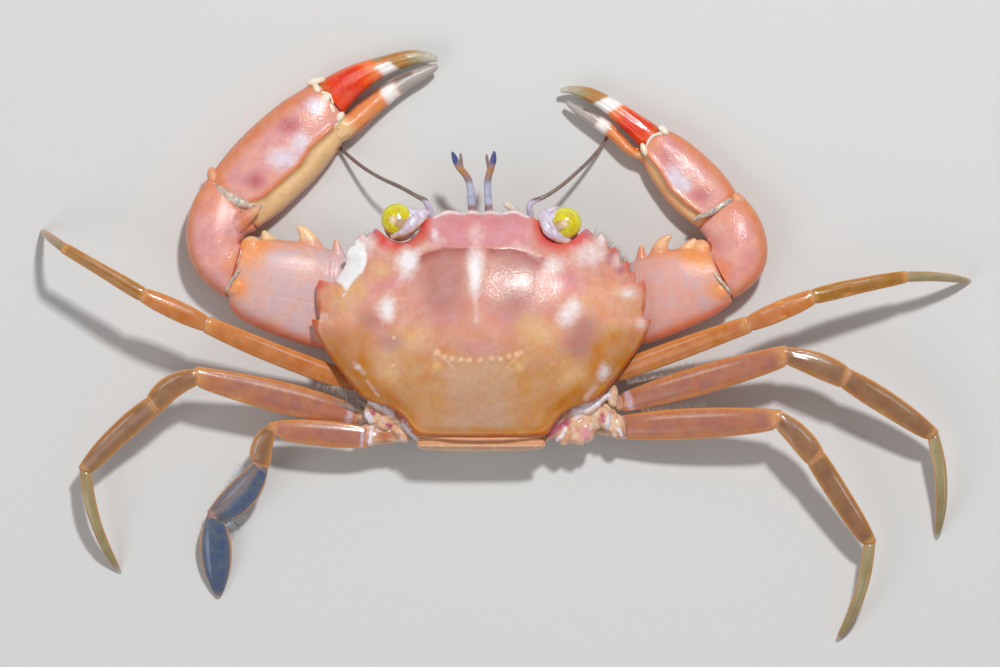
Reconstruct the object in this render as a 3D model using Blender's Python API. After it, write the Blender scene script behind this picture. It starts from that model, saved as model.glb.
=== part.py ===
"""A smooth-shelled swimming crab at life size, spread out on its belly with both claws held forward.

Run it with blender --background --python part.py, or from the text editor. Every size is in
millimetres and is turned to metres when a mesh is made. +Y is the crab's front, +X its right side
and +Z is up. The origin is on the flat underside of the belly, on the midline, level with the widest
part of the shell. The animal has lost its left third leg and its right fifth leg, so each of those
is only the short stump that is left at the body.
"""

import math

import bmesh
import bpy
from mathutils import Matrix, Vector

MM = 0.001
GAP = 0.3            # clearance between two pieces that meet
FLOOR = 0.0          # height of what the crab rests on

# The shell, or carapace.
FRONT_NOTCH_Y = 16.6         # where the lobes of the front meet
LOBE_EDGES = (0.0, 2.75, 7.0)
LOBE_HEIGHT = 0.75
FRONT_Z = 10.9
ORBIT_CENTRE = (12.1, 15.5)
ORBIT_RADIUS = 3.15
ORBIT_Z = 11.4
CROWN_Z = 17.0               # highest point of the dome
DOME_POWER = 0.75            # lower is boxier, higher is more pointed
SHELL_EDGE = 0.9             # thickness of the shell's rim
SHELL_FLOOR_Z = 8.3          # underside of the shell
SHELL_FLOOR_SHARE = 0.9      # outline of the underside against that of the rim
DOME_RINGS = (0.93, 0.8, 0.62, 0.42, 0.2)
DOME_SMOOTHING = 3.6         # how soon the rings lose the notches of the rim, towards the crown
DOME_BASE_Z = 10.4
REAR_HALF_LENGTH = 16.9
# The rim of the shell's side, from the eye back, as x, y and height. Each tooth is its tip, a point on
# its outer edge and the notch behind it, and the left side has a healed bite in place of three teeth.
FIRST_TEETH = (
    (15.8, 14.6, 11.0), (16.7, 13.8, 10.9), (17.1, 12.9, 10.9),
    (18.1, 13.9, 10.7), (18.9, 12.6, 10.6), (19.0, 11.3, 10.6),
)
MIDDLE_TEETH = (
    (20.1, 11.9, 10.4), (20.8, 10.6, 10.3), (20.8, 9.1, 10.3),
    (22.1, 9.8, 10.1), (22.4, 8.8, 10.0), (22.0, 7.7, 10.0),
    (23.1, 8.1, 9.9), (23.3, 7.0, 9.8), (22.9, 5.5, 9.8),
)
HEALED_BITE = (
    (19.4, 11.9, 10.5), (20.1, 10.9, 10.4), (20.1, 9.9, 10.3), (20.5, 8.7, 10.1),
    (21.1, 7.4, 10.0), (22.0, 6.4, 9.9), (22.9, 6.1, 9.8),
)
LAST_TEETH = (
    (24.5, 7.0, 9.7), (24.8, 5.6, 9.6), (24.8, 4.0, 9.5), (24.6, 2.3, 9.4), (24.0, 0.4, 9.4),
    (25.6, 1.0, 9.3), (25.3, -0.5, 9.3),
)
REAR_RIM = (
    (24.4, -2.4, 9.4), (22.7, -4.9, 9.5), (20.8, -7.4, 9.7), (18.3, -10.6, 10.0), (16.7, -11.6, 10.3),
    (14.2, -12.1, 10.8), (12.2, -13.3, 11.1), (10.9, -14.9, 11.4), (10.0, -16.6, 11.6), (5.0, -16.8, 11.6),
)
REAR_Y = -16.8
REAR_Z = 11.6

# The underside, or thorax, as level ovals: each height, and how far it is from belly to top oval.
THORAX_TOP_Z = SHELL_FLOOR_Z - GAP
BELLY_OVAL = (11.5, 6.0, -14.6)          # half width, front and rear of the flat it rests on
THORAX_TOP_OVAL = (19.8, 14.2, -15.6)
THORAX_SIDES = 40
THORAX_LEVELS = ((0.0, 0.0), (0.6, 0.07), (2.5, 0.28), (4.5, 0.5), (6.5, 0.78), (THORAX_TOP_Z, 1.0))

# Colours of the finished animal, one for each kind of piece.
PINK_SHELL = (0.80, 0.42, 0.33)
CLAW_SHELL = (0.83, 0.40, 0.27)
FINGER_SHELL = (0.84, 0.20, 0.08)
LEG_SHELL = (0.62, 0.30, 0.13)
BELLY_SHELL = (0.84, 0.66, 0.52)
STALK_SKIN = (0.78, 0.66, 0.68)
EYE_YELLOW = (0.70, 0.66, 0.06)
FEELER_GREY = (0.48, 0.38, 0.36)
PADDLE_GREY = (0.30, 0.32, 0.40)


def clear_scene():
    for obj in list(bpy.data.objects):
        bpy.data.objects.remove(obj)


def painted(name, colour, roughness):
    """The material of that name, made once."""
    material = bpy.data.materials.get(name)
    if material is None:
        material = bpy.data.materials.new(name)
        material.use_nodes = True
        shader = material.node_tree.nodes["Principled BSDF"]
        shader.inputs["Base Color"].default_value = (*colour, 1.0)
        shader.inputs["Roughness"].default_value = roughness
        shader.inputs["Metallic"].default_value = 0.0
    return material


def place(name, mesh_builder, origin, material):
    """An object whose origin is at that point, made from a bmesh that is in the crab's own frame."""
    bmesh.ops.translate(mesh_builder, verts=mesh_builder.verts, vec=-Vector(origin))
    bmesh.ops.scale(mesh_builder, verts=mesh_builder.verts, vec=(MM, MM, MM))
    bmesh.ops.recalc_face_normals(mesh_builder, faces=mesh_builder.faces)
    mesh = bpy.data.meshes.new(name)
    mesh_builder.to_mesh(mesh)
    mesh_builder.free()
    mesh.materials.append(material)
    mesh.shade_smooth()
    obj = bpy.data.objects.new(name, mesh)
    obj.location = Vector(origin) * MM
    bpy.context.scene.collection.objects.link(obj)
    obj.parent = bpy.data.objects["crab"]
    return obj


def spline(rows, steps):
    """Points on a smooth curve through the rows, each a tuple of numbers, with that many steps per row."""
    found = []
    last = len(rows) - 1
    for i in range(last):
        before, a, b, after = (rows[max(i - 1, 0)], rows[i], rows[i + 1], rows[min(i + 2, last)])
        for k in range(steps):
            t = k / steps
            found.append(tuple(
                q + 0.5 * t * (r - p + t * (2 * p - 5 * q + 4 * r - s + t * (3 * q - p - 3 * r + s)))
                for p, q, r, s in zip(before, a, b, after)
            ))
    found.append(tuple(rows[last]))
    return found


def section(centre, along, width, height, across=None):
    """The matrix that takes a unit circle to an upright ellipse of that size, square to the line."""
    along = Vector(along).normalized()
    side = Vector(across) if across else Vector((0, 0, 1)).cross(along)
    side = (side - along * side.dot(along)).normalized()
    up = along.cross(side)
    columns = (side * width / 2, up * height / 2, along)
    turned = Matrix([[column[i] for column in columns] for i in range(3)]).to_4x4()
    return Matrix.Translation(centre) @ turned


def tube(rows, steps=2, sides=12, power=2.3, first=None, last=None, across=None, bm=None):
    """A closed solid along the rows, each x, y, z, width and height. first and last are the
    directions that its two end faces look along, where they aren't square to its own line."""
    bm = bm or bmesh.new()
    points = spline(rows, steps)
    centres = [Vector(point[:3]) for point in points]
    frames = []
    for i, point in enumerate(points):
        along = centres[min(i + 1, len(points) - 1)] - centres[max(i - 1, 0)]
        if i == 0 and first:
            along = Vector(first)
        if i == len(points) - 1 and last:
            along = Vector(last)
        frames.append(section(centres[i], along, point[3], point[4], across))
    ring = bmesh.ops.create_circle(bm, cap_ends=True, segments=sides, radius=1.0)["verts"]
    for vert in ring:
        squared = [math.copysign(abs(c) ** (2 / power), c) for c in vert.co[:2]]
        vert.co = Vector((*squared, 0))
    cap = next(face for face in ring[0].link_faces)
    bmesh.ops.transform(bm, matrix=frames[0], verts=ring)
    for before, after in zip(frames, frames[1:]):
        made = bmesh.ops.extrude_face_region(bm, geom=[cap, *cap.edges, *cap.verts])["geom"]
        cap = next(item for item in made if isinstance(item, bmesh.types.BMFace))
        moved = [item for item in made if isinstance(item, bmesh.types.BMVert)]
        bmesh.ops.transform(bm, matrix=after @ before.inverted(), verts=moved)
    return bm


def cut_flat(bm, point, normal):
    """Removes what lies on the normal's side of the plane, and closes the cut with a flat face."""
    geometry = bm.verts[:] + bm.edges[:] + bm.faces[:]
    cut = bmesh.ops.bisect_plane(bm, geom=geometry, plane_co=point, plane_no=normal, clear_outer=True)
    rim = [item for item in cut["geom_cut"] if isinstance(item, bmesh.types.BMEdge)]
    if rim:
        bmesh.ops.edgeloop_fill(bm, edges=rim)
    return bm


def rest_on_floor(bm):
    return cut_flat(bm, (0, 0, FLOOR), (0, 0, -1))


def keep_largest(obj):
    """Drops every loose piece of the object's mesh but the biggest."""
    bm = bmesh.new()
    bm.from_mesh(obj.data)
    unseen = set(bm.verts)
    pieces = []
    while unseen:
        reached = {unseen.pop()}
        edge_of_search = list(reached)
        while edge_of_search:
            vert = edge_of_search.pop()
            for edge in vert.link_edges:
                other = edge.other_vert(vert)
                if other in unseen:
                    unseen.discard(other)
                    reached.add(other)
                    edge_of_search.append(other)
        pieces.append(reached)
    pieces.sort(key=len)
    for piece in pieces[:-1]:
        bmesh.ops.delete(bm, geom=list(piece), context="VERTS")
    bm.to_mesh(obj.data)
    bm.free()


def apply_modifiers(obj):
    graph = bpy.context.evaluated_depsgraph_get()
    mesh = bpy.data.meshes.new_from_object(obj.evaluated_get(graph))
    obj.modifiers.clear()
    obj.data = mesh
    mesh.shade_smooth()


def fuse(obj, pieces):
    """Joins the pieces to the object with one Boolean union, so that the node is one closed body."""
    group = bpy.data.collections.new(obj.name + "_pieces")
    bpy.context.scene.collection.children.link(group)
    for piece in pieces:
        group.objects.link(piece)
    union = obj.modifiers.new("union", "BOOLEAN")
    union.operation = "UNION"
    union.operand_type = "COLLECTION"
    union.collection = group
    union.solver = "EXACT"
    bpy.context.view_layer.update()
    apply_modifiers(obj)
    for piece in pieces:
        bpy.data.objects.remove(piece)
    bpy.data.collections.remove(group)
    keep_largest(obj)
    return obj


def carve(obj, cutter):
    """Cuts the cutter's shape away from the object."""
    cut = obj.modifiers.new("clear_of_" + cutter.name, "BOOLEAN")
    cut.operation = "DIFFERENCE"
    cut.object = cutter
    cut.solver = "EXACT"
    bpy.context.view_layer.update()
    apply_modifiers(obj)
    keep_largest(obj)
    return obj


def as_cutter(obj):
    obj.hide_render = True
    obj.display_type = "WIRE"
    return obj


def half_rim(side):
    """The rim from the middle of the front to just short of the middle of the rear, on one side."""
    rim = []
    for start, end in zip(LOBE_EDGES, LOBE_EDGES[1:]):
        for k in range(3):
            share = k / 3
            swell = LOBE_HEIGHT * math.sin(math.pi * share)
            rim.append((start + (end - start) * share, FRONT_NOTCH_Y + swell, FRONT_Z))
    rim.append((LOBE_EDGES[-1], FRONT_NOTCH_Y - 0.3, FRONT_Z))
    for degrees in (180, 200, 225, 250, 270, 290, 312):
        angle = math.radians(degrees)
        x = ORBIT_CENTRE[0] + ORBIT_RADIUS * math.cos(angle)
        y = ORBIT_CENTRE[1] + ORBIT_RADIUS * math.sin(angle)
        rim.append((x, y, ORBIT_Z))
    rim += FIRST_TEETH + (HEALED_BITE if side < 0 else MIDDLE_TEETH) + LAST_TEETH + REAR_RIM
    return [(side * x, y, z) for x, y, z in rim]


def whole_rim():
    """The rim right round the shell, clockwise seen from above, from the middle of the front."""
    right = half_rim(1)
    left = half_rim(-1)
    return right + [(0, REAR_Y, REAR_Z)] + left[:0:-1]


def ring_stack(levels):
    """A closed solid from level rings, each a list of points in the same order."""
    bm = bmesh.new()
    rings = [[bm.verts.new(point) for point in level] for level in levels]
    for lower, upper in zip(rings, rings[1:]):
        edges = []
        for ring in (lower, upper):
            for a, b in zip(ring, ring[1:] + ring[:1]):
                edges.append(bm.edges.get((a, b)) or bm.edges.new((a, b)))
        bmesh.ops.bridge_loops(bm, edges=edges)
    for ring in (rings[0], rings[-1]):
        face = bm.faces.new(ring)
        bmesh.ops.triangulate(bm, faces=[face])
    return bm


def even_angles(rim, widest):
    """The direction of each rim point from the middle, evened out so that it only ever turns one way."""
    angles = [math.atan2(-x / widest, y / REAR_HALF_LENGTH) for x, y, _ in rim]
    last = len(rim)
    angles = [a - math.tau if a > 0.01 and i < last / 2 else a for i, a in enumerate(angles)]
    angles = [a - math.tau if a > 0.01 and i >= last / 2 else a for i, a in enumerate(angles)]
    for _ in range(8):
        inner = [(a + b + c) / 3 for a, b, c in zip(angles, angles[1:], angles[2:])]
        angles = [angles[0], *inner, angles[-1]]
    return angles


def shell_levels(grow):
    """Rings of the shell from its underside, over its rim, to its crown."""
    rim = whole_rim()
    widest = max(x for x, _, _ in rim)
    angles = even_angles(rim, widest)
    swell = 1 + grow / widest
    under = [(x * SHELL_FLOOR_SHARE * swell, y * SHELL_FLOOR_SHARE * swell, SHELL_FLOOR_Z - grow)
             for x, y, _ in rim]
    lip = [(x * 0.985 * swell, y * 0.985 * swell, z - SHELL_EDGE - grow) for x, y, z in rim]
    levels = [under, lip, [(x * swell, y * swell, z) for x, y, z in rim]]
    for share in DOME_RINGS:
        rise = (1 - share**2) ** DOME_POWER
        smoothing = min(1.0, (1 - share) * DOME_SMOOTHING)
        level = []
        for (x, y, z), angle in zip(rim, angles):
            oval = Vector((-widest * math.sin(angle), REAR_HALF_LENGTH * math.cos(angle)))
            at = Vector((x, y)).lerp(oval, smoothing) * share * swell
            low = z + (DOME_BASE_Z - z) * smoothing
            level.append((at.x, at.y, low + (CROWN_Z - low) * rise + grow))
        levels.append(level)
    return levels


def build_shell():
    shell_paint = painted("pink_shell", PINK_SHELL, 0.35)
    place("carapace", ring_stack(shell_levels(0)), (0, 0, 0), shell_paint)
    return as_cutter(place("shell_clearance", ring_stack(shell_levels(1.5 * GAP)), (0, 0, 0), shell_paint))


def thorax_levels(grow):
    """Level ovals from the flat of the belly up to just under the shell."""
    levels = []
    for z, share in THORAX_LEVELS:
        low, high = Vector(BELLY_OVAL), Vector(THORAX_TOP_OVAL)
        half_width, front, rear = low.lerp(high, share)
        level = []
        for k in range(THORAX_SIDES):
            angle = math.tau * k / THORAX_SIDES
            x = (half_width + grow) * math.sin(angle)
            y = (front + rear) / 2 + ((front - rear) / 2 + grow) * math.cos(angle)
            level.append((x, y, z))
        levels.append(level)
    if grow:
        levels[0] = [(x, y, -grow) for x, y, _ in levels[0]]
        levels[-1] = [(x, y, THORAX_TOP_Z + grow * 0.5) for x, y, _ in levels[-1]]
    return levels


# The tail flap, folded down behind the shell and forward under the belly.
ABDOMEN_ROWS = (
    # y, z, width, thickness
    (-16.9, 9.7, 18.6, 1.0),
    (-17.8, 9.9, 19.8, 1.2),
    (-18.4, 8.4, 19.6, 1.2),
    (-18.5, 5.6, 17.6, 1.2),
    (-17.8, 2.8, 14.6, 1.2),
    (-15.8, 1.0, 12.4, 1.2),
    (-12.0, 0.55, 10.4, 1.2),
    (-6.0, 0.55, 7.4, 1.2),
    (0.0, 0.55, 4.6, 1.2),
    (3.0, 0.55, 1.6, 1.1),
)


def abdomen_mesh(grow):
    rows = [(0, y, z, width + 3 * grow, thickness + 3 * grow) for y, z, width, thickness in ABDOMEN_ROWS]
    rows[0] = (0, rows[0][1] + grow * 3, *rows[0][2:])
    rows[-1] = (0, rows[-1][1] + grow * 1.5, *rows[-1][2:])
    return tube(rows, steps=2, sides=12, power=3.5, across=(1, 0, 0))


def build_thorax():
    belly_paint = painted("belly_shell", BELLY_SHELL, 0.45)
    thorax = place("thorax", ring_stack(thorax_levels(0)), (0, 0, 0), belly_paint)
    flap_room = as_cutter(place("flap_clearance", abdomen_mesh(GAP), (0, 0, 0), belly_paint))
    carve(thorax, flap_room)
    place("abdomen", rest_on_floor(abdomen_mesh(0)), (0, 0, 0), belly_paint)
    room = ring_stack(thorax_levels(1.4 * GAP))
    return as_cutter(place("thorax_clearance", room, (0, 0, 0), belly_paint))


SEGMENTS = ("merus", "carpus", "propodus", "dactylus")

# Each walking leg from the body outwards. joints are the middles of its joints. sizes give, for the
# merus, carpus, propodus and dactylus, five widths from the near end to the far end. flatness is the
# thickness against width, root is where the coxa goes into the body and coxa is how thick it is.
# bows is how far the middle of each segment stands off the straight line, to the left looking
# outwards, and droop is how far the last one arches up, against its length.
LEGS = {
    "leg_right_2": {
        "root": (12.0, -4.8, 3.5),
        "joints": ((16.9, -8.3, 4.9), (40.1, 0.15, 12.3), (49.6, 4.2, 12.6), (63.7, 7.2, 9.6),
                   (74.1, 6.6, -0.2)),
        "coxa": 2.5,
        "sizes": ((2.6, 3.1, 3.2, 2.95, 2.6), (2.3, 2.9, 3.0, 2.9, 2.3), (2.3, 2.5, 2.25, 2.1, 1.8),
                  (1.5, 1.4, 1.2, 1.05, 0.45)),
        "flatness": 0.66,
        "bows": (0, 0, 0.15, 0.3),
        "droop": 0.12,
    },
    "leg_right_3": {
        "root": (12.0, -10.4, 3.2),
        "joints": ((21.1, -11.75, 4.9), (45.7, -4.65, 10.6), (54.5, -7.95, 10.2), (67.9, -16.65, 6.2),
                   (68.9, -32.55, -0.2)),
        "coxa": 2.7,
        "sizes": ((3.0, 4.1, 4.5, 4.1, 3.3), (2.6, 3.3, 3.8, 3.8, 3.3), (3.2, 3.7, 3.65, 3.25, 2.4),
                  (1.8, 1.95, 1.7, 1.45, 0.45)),
        "flatness": 0.47,
        "bows": (0, 0.35, 0.2, 0.9),
        "droop": 0.12,
    },
    "leg_right_4": {
        "root": (11.2, -13.5, 3.4),
        "joints": ((19.9, -15.45, 5.0), (44.6, -14.25, 9.8), (50.1, -19.95, 9.4), (58.4, -32.85, 5.6),
                   (53.8, -48.0, -0.2)),
        "coxa": 3.0,
        "sizes": ((3.3, 4.6, 4.8, 4.3, 3.3), (2.6, 3.3, 3.6, 3.7, 3.3), (3.2, 3.4, 3.25, 3.1, 2.3),
                  (1.8, 1.8, 1.65, 1.4, 0.45)),
        "flatness": 0.45,
        "bows": (0, 0.35, 0, 0.9),
        "droop": 0.12,
    },
    "leg_left_2": {
        "root": (-12.0, -4.8, 3.5),
        "joints": ((-17.4, -9.2, 4.9), (-41.25, 0.15, 12.6), (-50.5, 4.5, 13.9), (-62.3, 11.5, 13.2),
                   (-66.6, 14.3, -0.2)),
        "coxa": 2.5,
        "sizes": ((2.6, 3.1, 3.1, 3.0, 2.6), (2.4, 2.9, 2.95, 2.8, 2.2), (2.2, 2.15, 1.85, 1.7, 1.6),
                  (1.4, 1.25, 1.15, 1.0, 0.45)),
        "flatness": 0.66,
        "bows": (0.4, 0, 0, 0),
        "droop": 0.12,
    },
    "leg_left_4": {
        "root": (-11.2, -13.5, 3.4),
        "joints": ((-18.7, -13.7, 5.0), (-42.7, -7.8, 10.2), (-49.2, -12.1, 9.8), (-59.6, -21.9, 5.8),
                   (-54.7, -37.65, -0.2)),
        "coxa": 2.8,
        "sizes": ((3.2, 4.5, 4.9, 4.2, 3.3), (2.6, 3.2, 3.6, 3.7, 3.2), (3.2, 3.5, 3.3, 3.1, 2.4),
                  (1.7, 1.75, 1.5, 1.25, 0.45)),
        "flatness": 0.45,
        "bows": (0, -0.75, -0.4, -0.9),
        "droop": 0.12,
    },
    "leg_left_5": {
        "root": (-8.8, -15.4, 6.6),
        "joints": ((-17.2, -16.9, 7.2), (-31.4, -15.75, 7.6), (-33.1, -21.15, 6.4), (-40.3, -28.8, 3.6),
                   (-39.8, -40.9, 0.45)),
        "coxa": 3.0,
        "sizes": ((3.2, 3.9, 3.95, 3.6, 2.6), (1.9, 2.8, 3.2, 3.4, 2.5), (2.4, 4.2, 4.9, 4.5, 2.6),
                  (2.2, 4.7, 4.85, 3.7, 0.9)),
        "flatness": 0.33,
        "bows": (0, -0.75, 0.8, 0),
        "droop": 0.03,
    },
}


def bisector(before, joint, after):
    """The direction halfway between the two segments that meet at a joint."""
    return ((joint - before).normalized() + (after - joint).normalized()).normalized()


def build_leg(name, spec, thorax_room):
    joints = [Vector(joint) for joint in spec["joints"]]
    root = Vector(spec["root"])
    line = [root] + joints
    paint = painted("leg_shell", LEG_SHELL, 0.4)
    facing = [None] + [bisector(*line[i - 1:i + 2]) for i in range(1, len(line) - 1)] + [None]
    base_size = spec["coxa"]
    start = root - (joints[0] - root).normalized() * 1.5
    end = joints[0] - facing[1] * GAP / 2
    rows = ((*start, base_size, base_size), (*end, base_size * 0.95, base_size * 0.85))
    coxa = place(name + "_coxa", tube(rows, steps=4, sides=10, last=facing[1]), root, paint)
    carve(coxa, thorax_room)
    flat = spec["flatness"]
    for i, part_name in enumerate(SEGMENTS):
        a = joints[i] + facing[i + 1] * GAP / 2
        last_one = i == len(SEGMENTS) - 1
        b = joints[i + 1] - (Vector() if last_one else facing[i + 2] * GAP / 2)
        bow = Vector((0, 0, 1)).cross(b - a).normalized() * spec["bows"][i]
        if last_one:
            bow.z += spec["droop"] * (b - a).length
        rows = []
        for k, width in enumerate(spec["sizes"][i]):
            share = k / 4
            at = a.lerp(b, share) + bow * (4 * share * (1 - share))
            thin = 0.45 if last_one and k == 4 else 1.0
            rows.append((*at, width, max(width * flat, thin)))
        if name == "leg_left_5" and last_one:
            rows = [(x, y, z, w, 0.9) for x, y, z, w, _ in rows]
        solid = tube(rows, steps=2, sides=10, power=2.4, first=facing[i + 1],
                     last=None if last_one else facing[i + 2])
        segment_paint = paint
        if name == "leg_left_5" and i >= 2:
            segment_paint = painted("paddle_shell", PADDLE_GREY, 0.3)
        place(f"{name}_{part_name}", rest_on_floor(solid), a, segment_paint)


# The stumps of the two lost legs: where each goes into the body, and its end.
STUMPS = {
    "leg_left_3_stump": ((-12.0, -9.6, 3.5), (-16.6, -11.2, 4.6), 1.8),
    "leg_right_5_stump": ((9.0, -15.4, 6.5), (15.6, -16.9, 7.3), 2.8),
}


def build_stump(name, thorax_room):
    root, end, size = STUMPS[name]
    start = Vector(root) - (Vector(end) - Vector(root)).normalized() * 1.5
    rows = ((*start, size, size), (*end, size * 0.9, size * 0.85))
    stump = place(name, tube(rows, steps=4, sides=10), root, painted("leg_shell", LEG_SHELL, 0.4))
    carve(stump, thorax_room)


# The two claws. Every row is x, y, z, width seen from above, and thickness, from the body outwards.
# The way an end face looks is given where two segments meet at an angle.
CLAWS = {
    "claw_left": {
        "root": (-11.0, 2.2, 3.4),
        "merus": ((-18.6, 1.9, 4.3, 11.6, 4.4), (-22.0, 2.9, 4.7, 14.0, 5.2), (-27.1, 4.9, 5.2, 15.0, 6.2),
                  (-31.2, 5.95, 5.4, 14.1, 6.4), (-34.3, 6.95, 5.4, 12.8, 6.2),
                  (-36.75, 7.9, 5.4, 9.8, 5.6)),
        "merus_faces": ((-0.99, 0.12, 0), (-0.966, 0.258, 0)),
        "spines": (
            ((-33.8, 9.3, 5.4, 2.8, 2.6), (-34.2, 11.6, 5.4, 2.4, 2.0), (-34.5, 12.9, 5.5, 1.2, 1.2)),
            ((-31.4, 10.4, 5.3, 3.4, 2.2), (-32.1, 12.6, 5.4, 2.4, 1.6), (-32.8, 14.1, 5.5, 0.6, 0.6)),
            ((-25.3, 10.0, 5.1, 4.4, 2.4), (-25.9, 12.6, 5.3, 3.0, 1.8), (-26.6, 14.1, 5.4, 1.8, 1.2),
             (-27.7, 14.9, 5.5, 0.5, 0.5)),
            ((-21.5, 8.8, 4.8, 2.6, 2.0), (-21.6, 11.0, 5.0, 1.6, 1.3), (-21.9, 12.8, 5.1, 0.5, 0.5)),
        ),
        "carpus": ((-37.32, 8.06, 5.4, 8.4, 5.6), (-39.9, 10.3, 5.2, 8.0, 6.6),
                   (-40.3, 13.4, 4.9, 8.6, 7.2),
                   (-39.4, 16.2, 4.5, 9.6, 7.0), (-37.5, 18.3, 4.2, 10.8, 6.2)),
        "carpus_faces": ((-0.966, 0.258, 0), (0.74, 0.67, 0)),
        "carpus_spine": ((-36.8, 15.0, 6.8, 2.8, 2.4), (-34.6, 16.7, 8.5, 1.6, 1.2),
                         (-32.9, 17.9, 9.2, 0.5, 0.5)),
        "palm": ((-37.28, 18.5, 4.2, 10.6, 5.6), (-34.4, 21.4, 3.9, 12.0, 7.0),
                 (-31.0, 24.8, 3.7, 12.4, 7.6),
                 (-28.0, 27.7, 3.6, 12.0, 7.5), (-25.2, 30.9, 3.6, 10.6, 6.8),
                 (-23.0, 34.0, 3.6, 7.0, 5.2)),
        "palm_faces": ((0.74, 0.67, 0), (0.77, 0.64, 0)),
        "fixed_finger": ((-19.6, 30.2, 3.5, 3.4, 4.0), (-17.2, 32.5, 3.4, 3.3, 3.3),
                         (-13.4, 35.6, 3.2, 2.9, 2.6),
                         (-10.3, 37.4, 3.1, 2.2, 2.0), (-7.9, 38.5, 3.0, 1.5, 1.4),
                         (-6.7, 39.1, 3.0, 0.6, 0.6)),
        "finger": ((-22.77, 34.2, 3.6, 6.1, 4.6), (-20.9, 35.8, 3.6, 5.3, 4.4),
                   (-18.4, 37.4, 3.6, 4.3, 3.8),
                   (-15.2, 38.95, 3.5, 3.0, 3.0), (-11.4, 40.2, 3.4, 2.4, 2.4),
                   (-9.1, 40.45, 3.2, 1.9, 1.9),
                   (-6.7, 40.2, 3.0, 0.8, 0.8)),
    },
    "claw_right": {
        "root": (11.0, 1.8, 3.4),
        "merus": ((18.6, 1.7, 4.3, 11.0, 4.4), (23.4, 3.1, 4.7, 12.4, 5.2), (27.2, 4.5, 5.0, 12.4, 5.8),
                  (30.4, 5.6, 5.2, 12.0, 6.0), (33.4, 6.3, 5.2, 10.6, 5.8), (35.9, 7.2, 5.2, 8.6, 5.2)),
        "merus_faces": ((0.99, 0.12, 0), (0.90, 0.44, 0)),
        "spines": (
            ((32.4, 8.9, 5.2, 2.8, 2.4), (32.8, 10.6, 5.2, 2.4, 1.8), (33.1, 11.7, 5.3, 1.4, 1.2)),
            ((30.5, 9.8, 5.1, 2.8, 2.0), (31.0, 11.7, 5.2, 1.9, 1.4), (32.2, 12.9, 5.3, 0.5, 0.5)),
            ((26.7, 9.2, 5.0, 3.8, 2.2), (26.9, 11.6, 5.2, 2.4, 1.6), (27.4, 12.8, 5.3, 1.5, 1.1),
             (28.5, 13.4, 5.4, 0.5, 0.5)),
            ((24.1, 8.2, 4.8, 2.3, 1.8), (24.1, 10.4, 5.0, 1.4, 1.2), (24.1, 12.0, 5.1, 0.5, 0.5)),
        ),
        "carpus": ((36.2, 7.35, 5.2, 7.8, 5.2), (38.7, 9.9, 5.0, 9.0, 6.0), (38.6, 13.2, 4.6, 8.4, 6.4),
                   (37.6, 15.2, 4.1, 8.3, 6.2), (35.8, 17.2, 3.7, 8.2, 5.4)),
        "carpus_faces": ((0.90, 0.44, 0), (-0.70, 0.71, 0)),
        "carpus_spine": ((37.4, 11.9, 4.8, 2.4, 2.2), (35.2, 12.5, 5.0, 1.6, 1.5),
                         (34.2, 12.9, 5.1, 0.5, 0.5)),
        "palm": ((35.59, 17.41, 3.6, 7.8, 4.8), (33.6, 19.4, 3.3, 8.8, 5.8), (31.4, 21.6, 3.1, 9.0, 6.2),
                 (28.9, 24.4, 3.0, 8.1, 5.8), (27.2, 26.3, 3.0, 6.9, 5.2), (25.8, 28.0, 3.0, 4.8, 4.2)),
        "palm_faces": ((-0.70, 0.71, 0), (-0.68, 0.73, 0)),
        "fixed_finger": ((22.5, 26.2, 2.9, 1.4, 3.0), (20.1, 28.75, 2.9, 1.75, 2.6),
                         (17.9, 30.5, 2.8, 2.1, 2.2),
                         (15.6, 31.9, 2.7, 1.7, 1.7), (14.0, 32.8, 2.7, 1.0, 1.0),
                         (12.9, 33.7, 2.7, 0.5, 0.5)),
        "finger": ((25.6, 28.22, 3.0, 4.2, 3.6), (22.9, 30.4, 3.1, 3.3, 3.2), (20.5, 32.25, 3.1, 2.7, 2.7),
                   (18.3, 33.75, 3.0, 2.25, 2.2), (16.1, 34.9, 2.9, 2.0, 1.8), (13.6, 35.55, 2.8, 1.1, 1.1),
                   (12.0, 35.4, 2.7, 0.6, 0.6)),
    },
}


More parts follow.
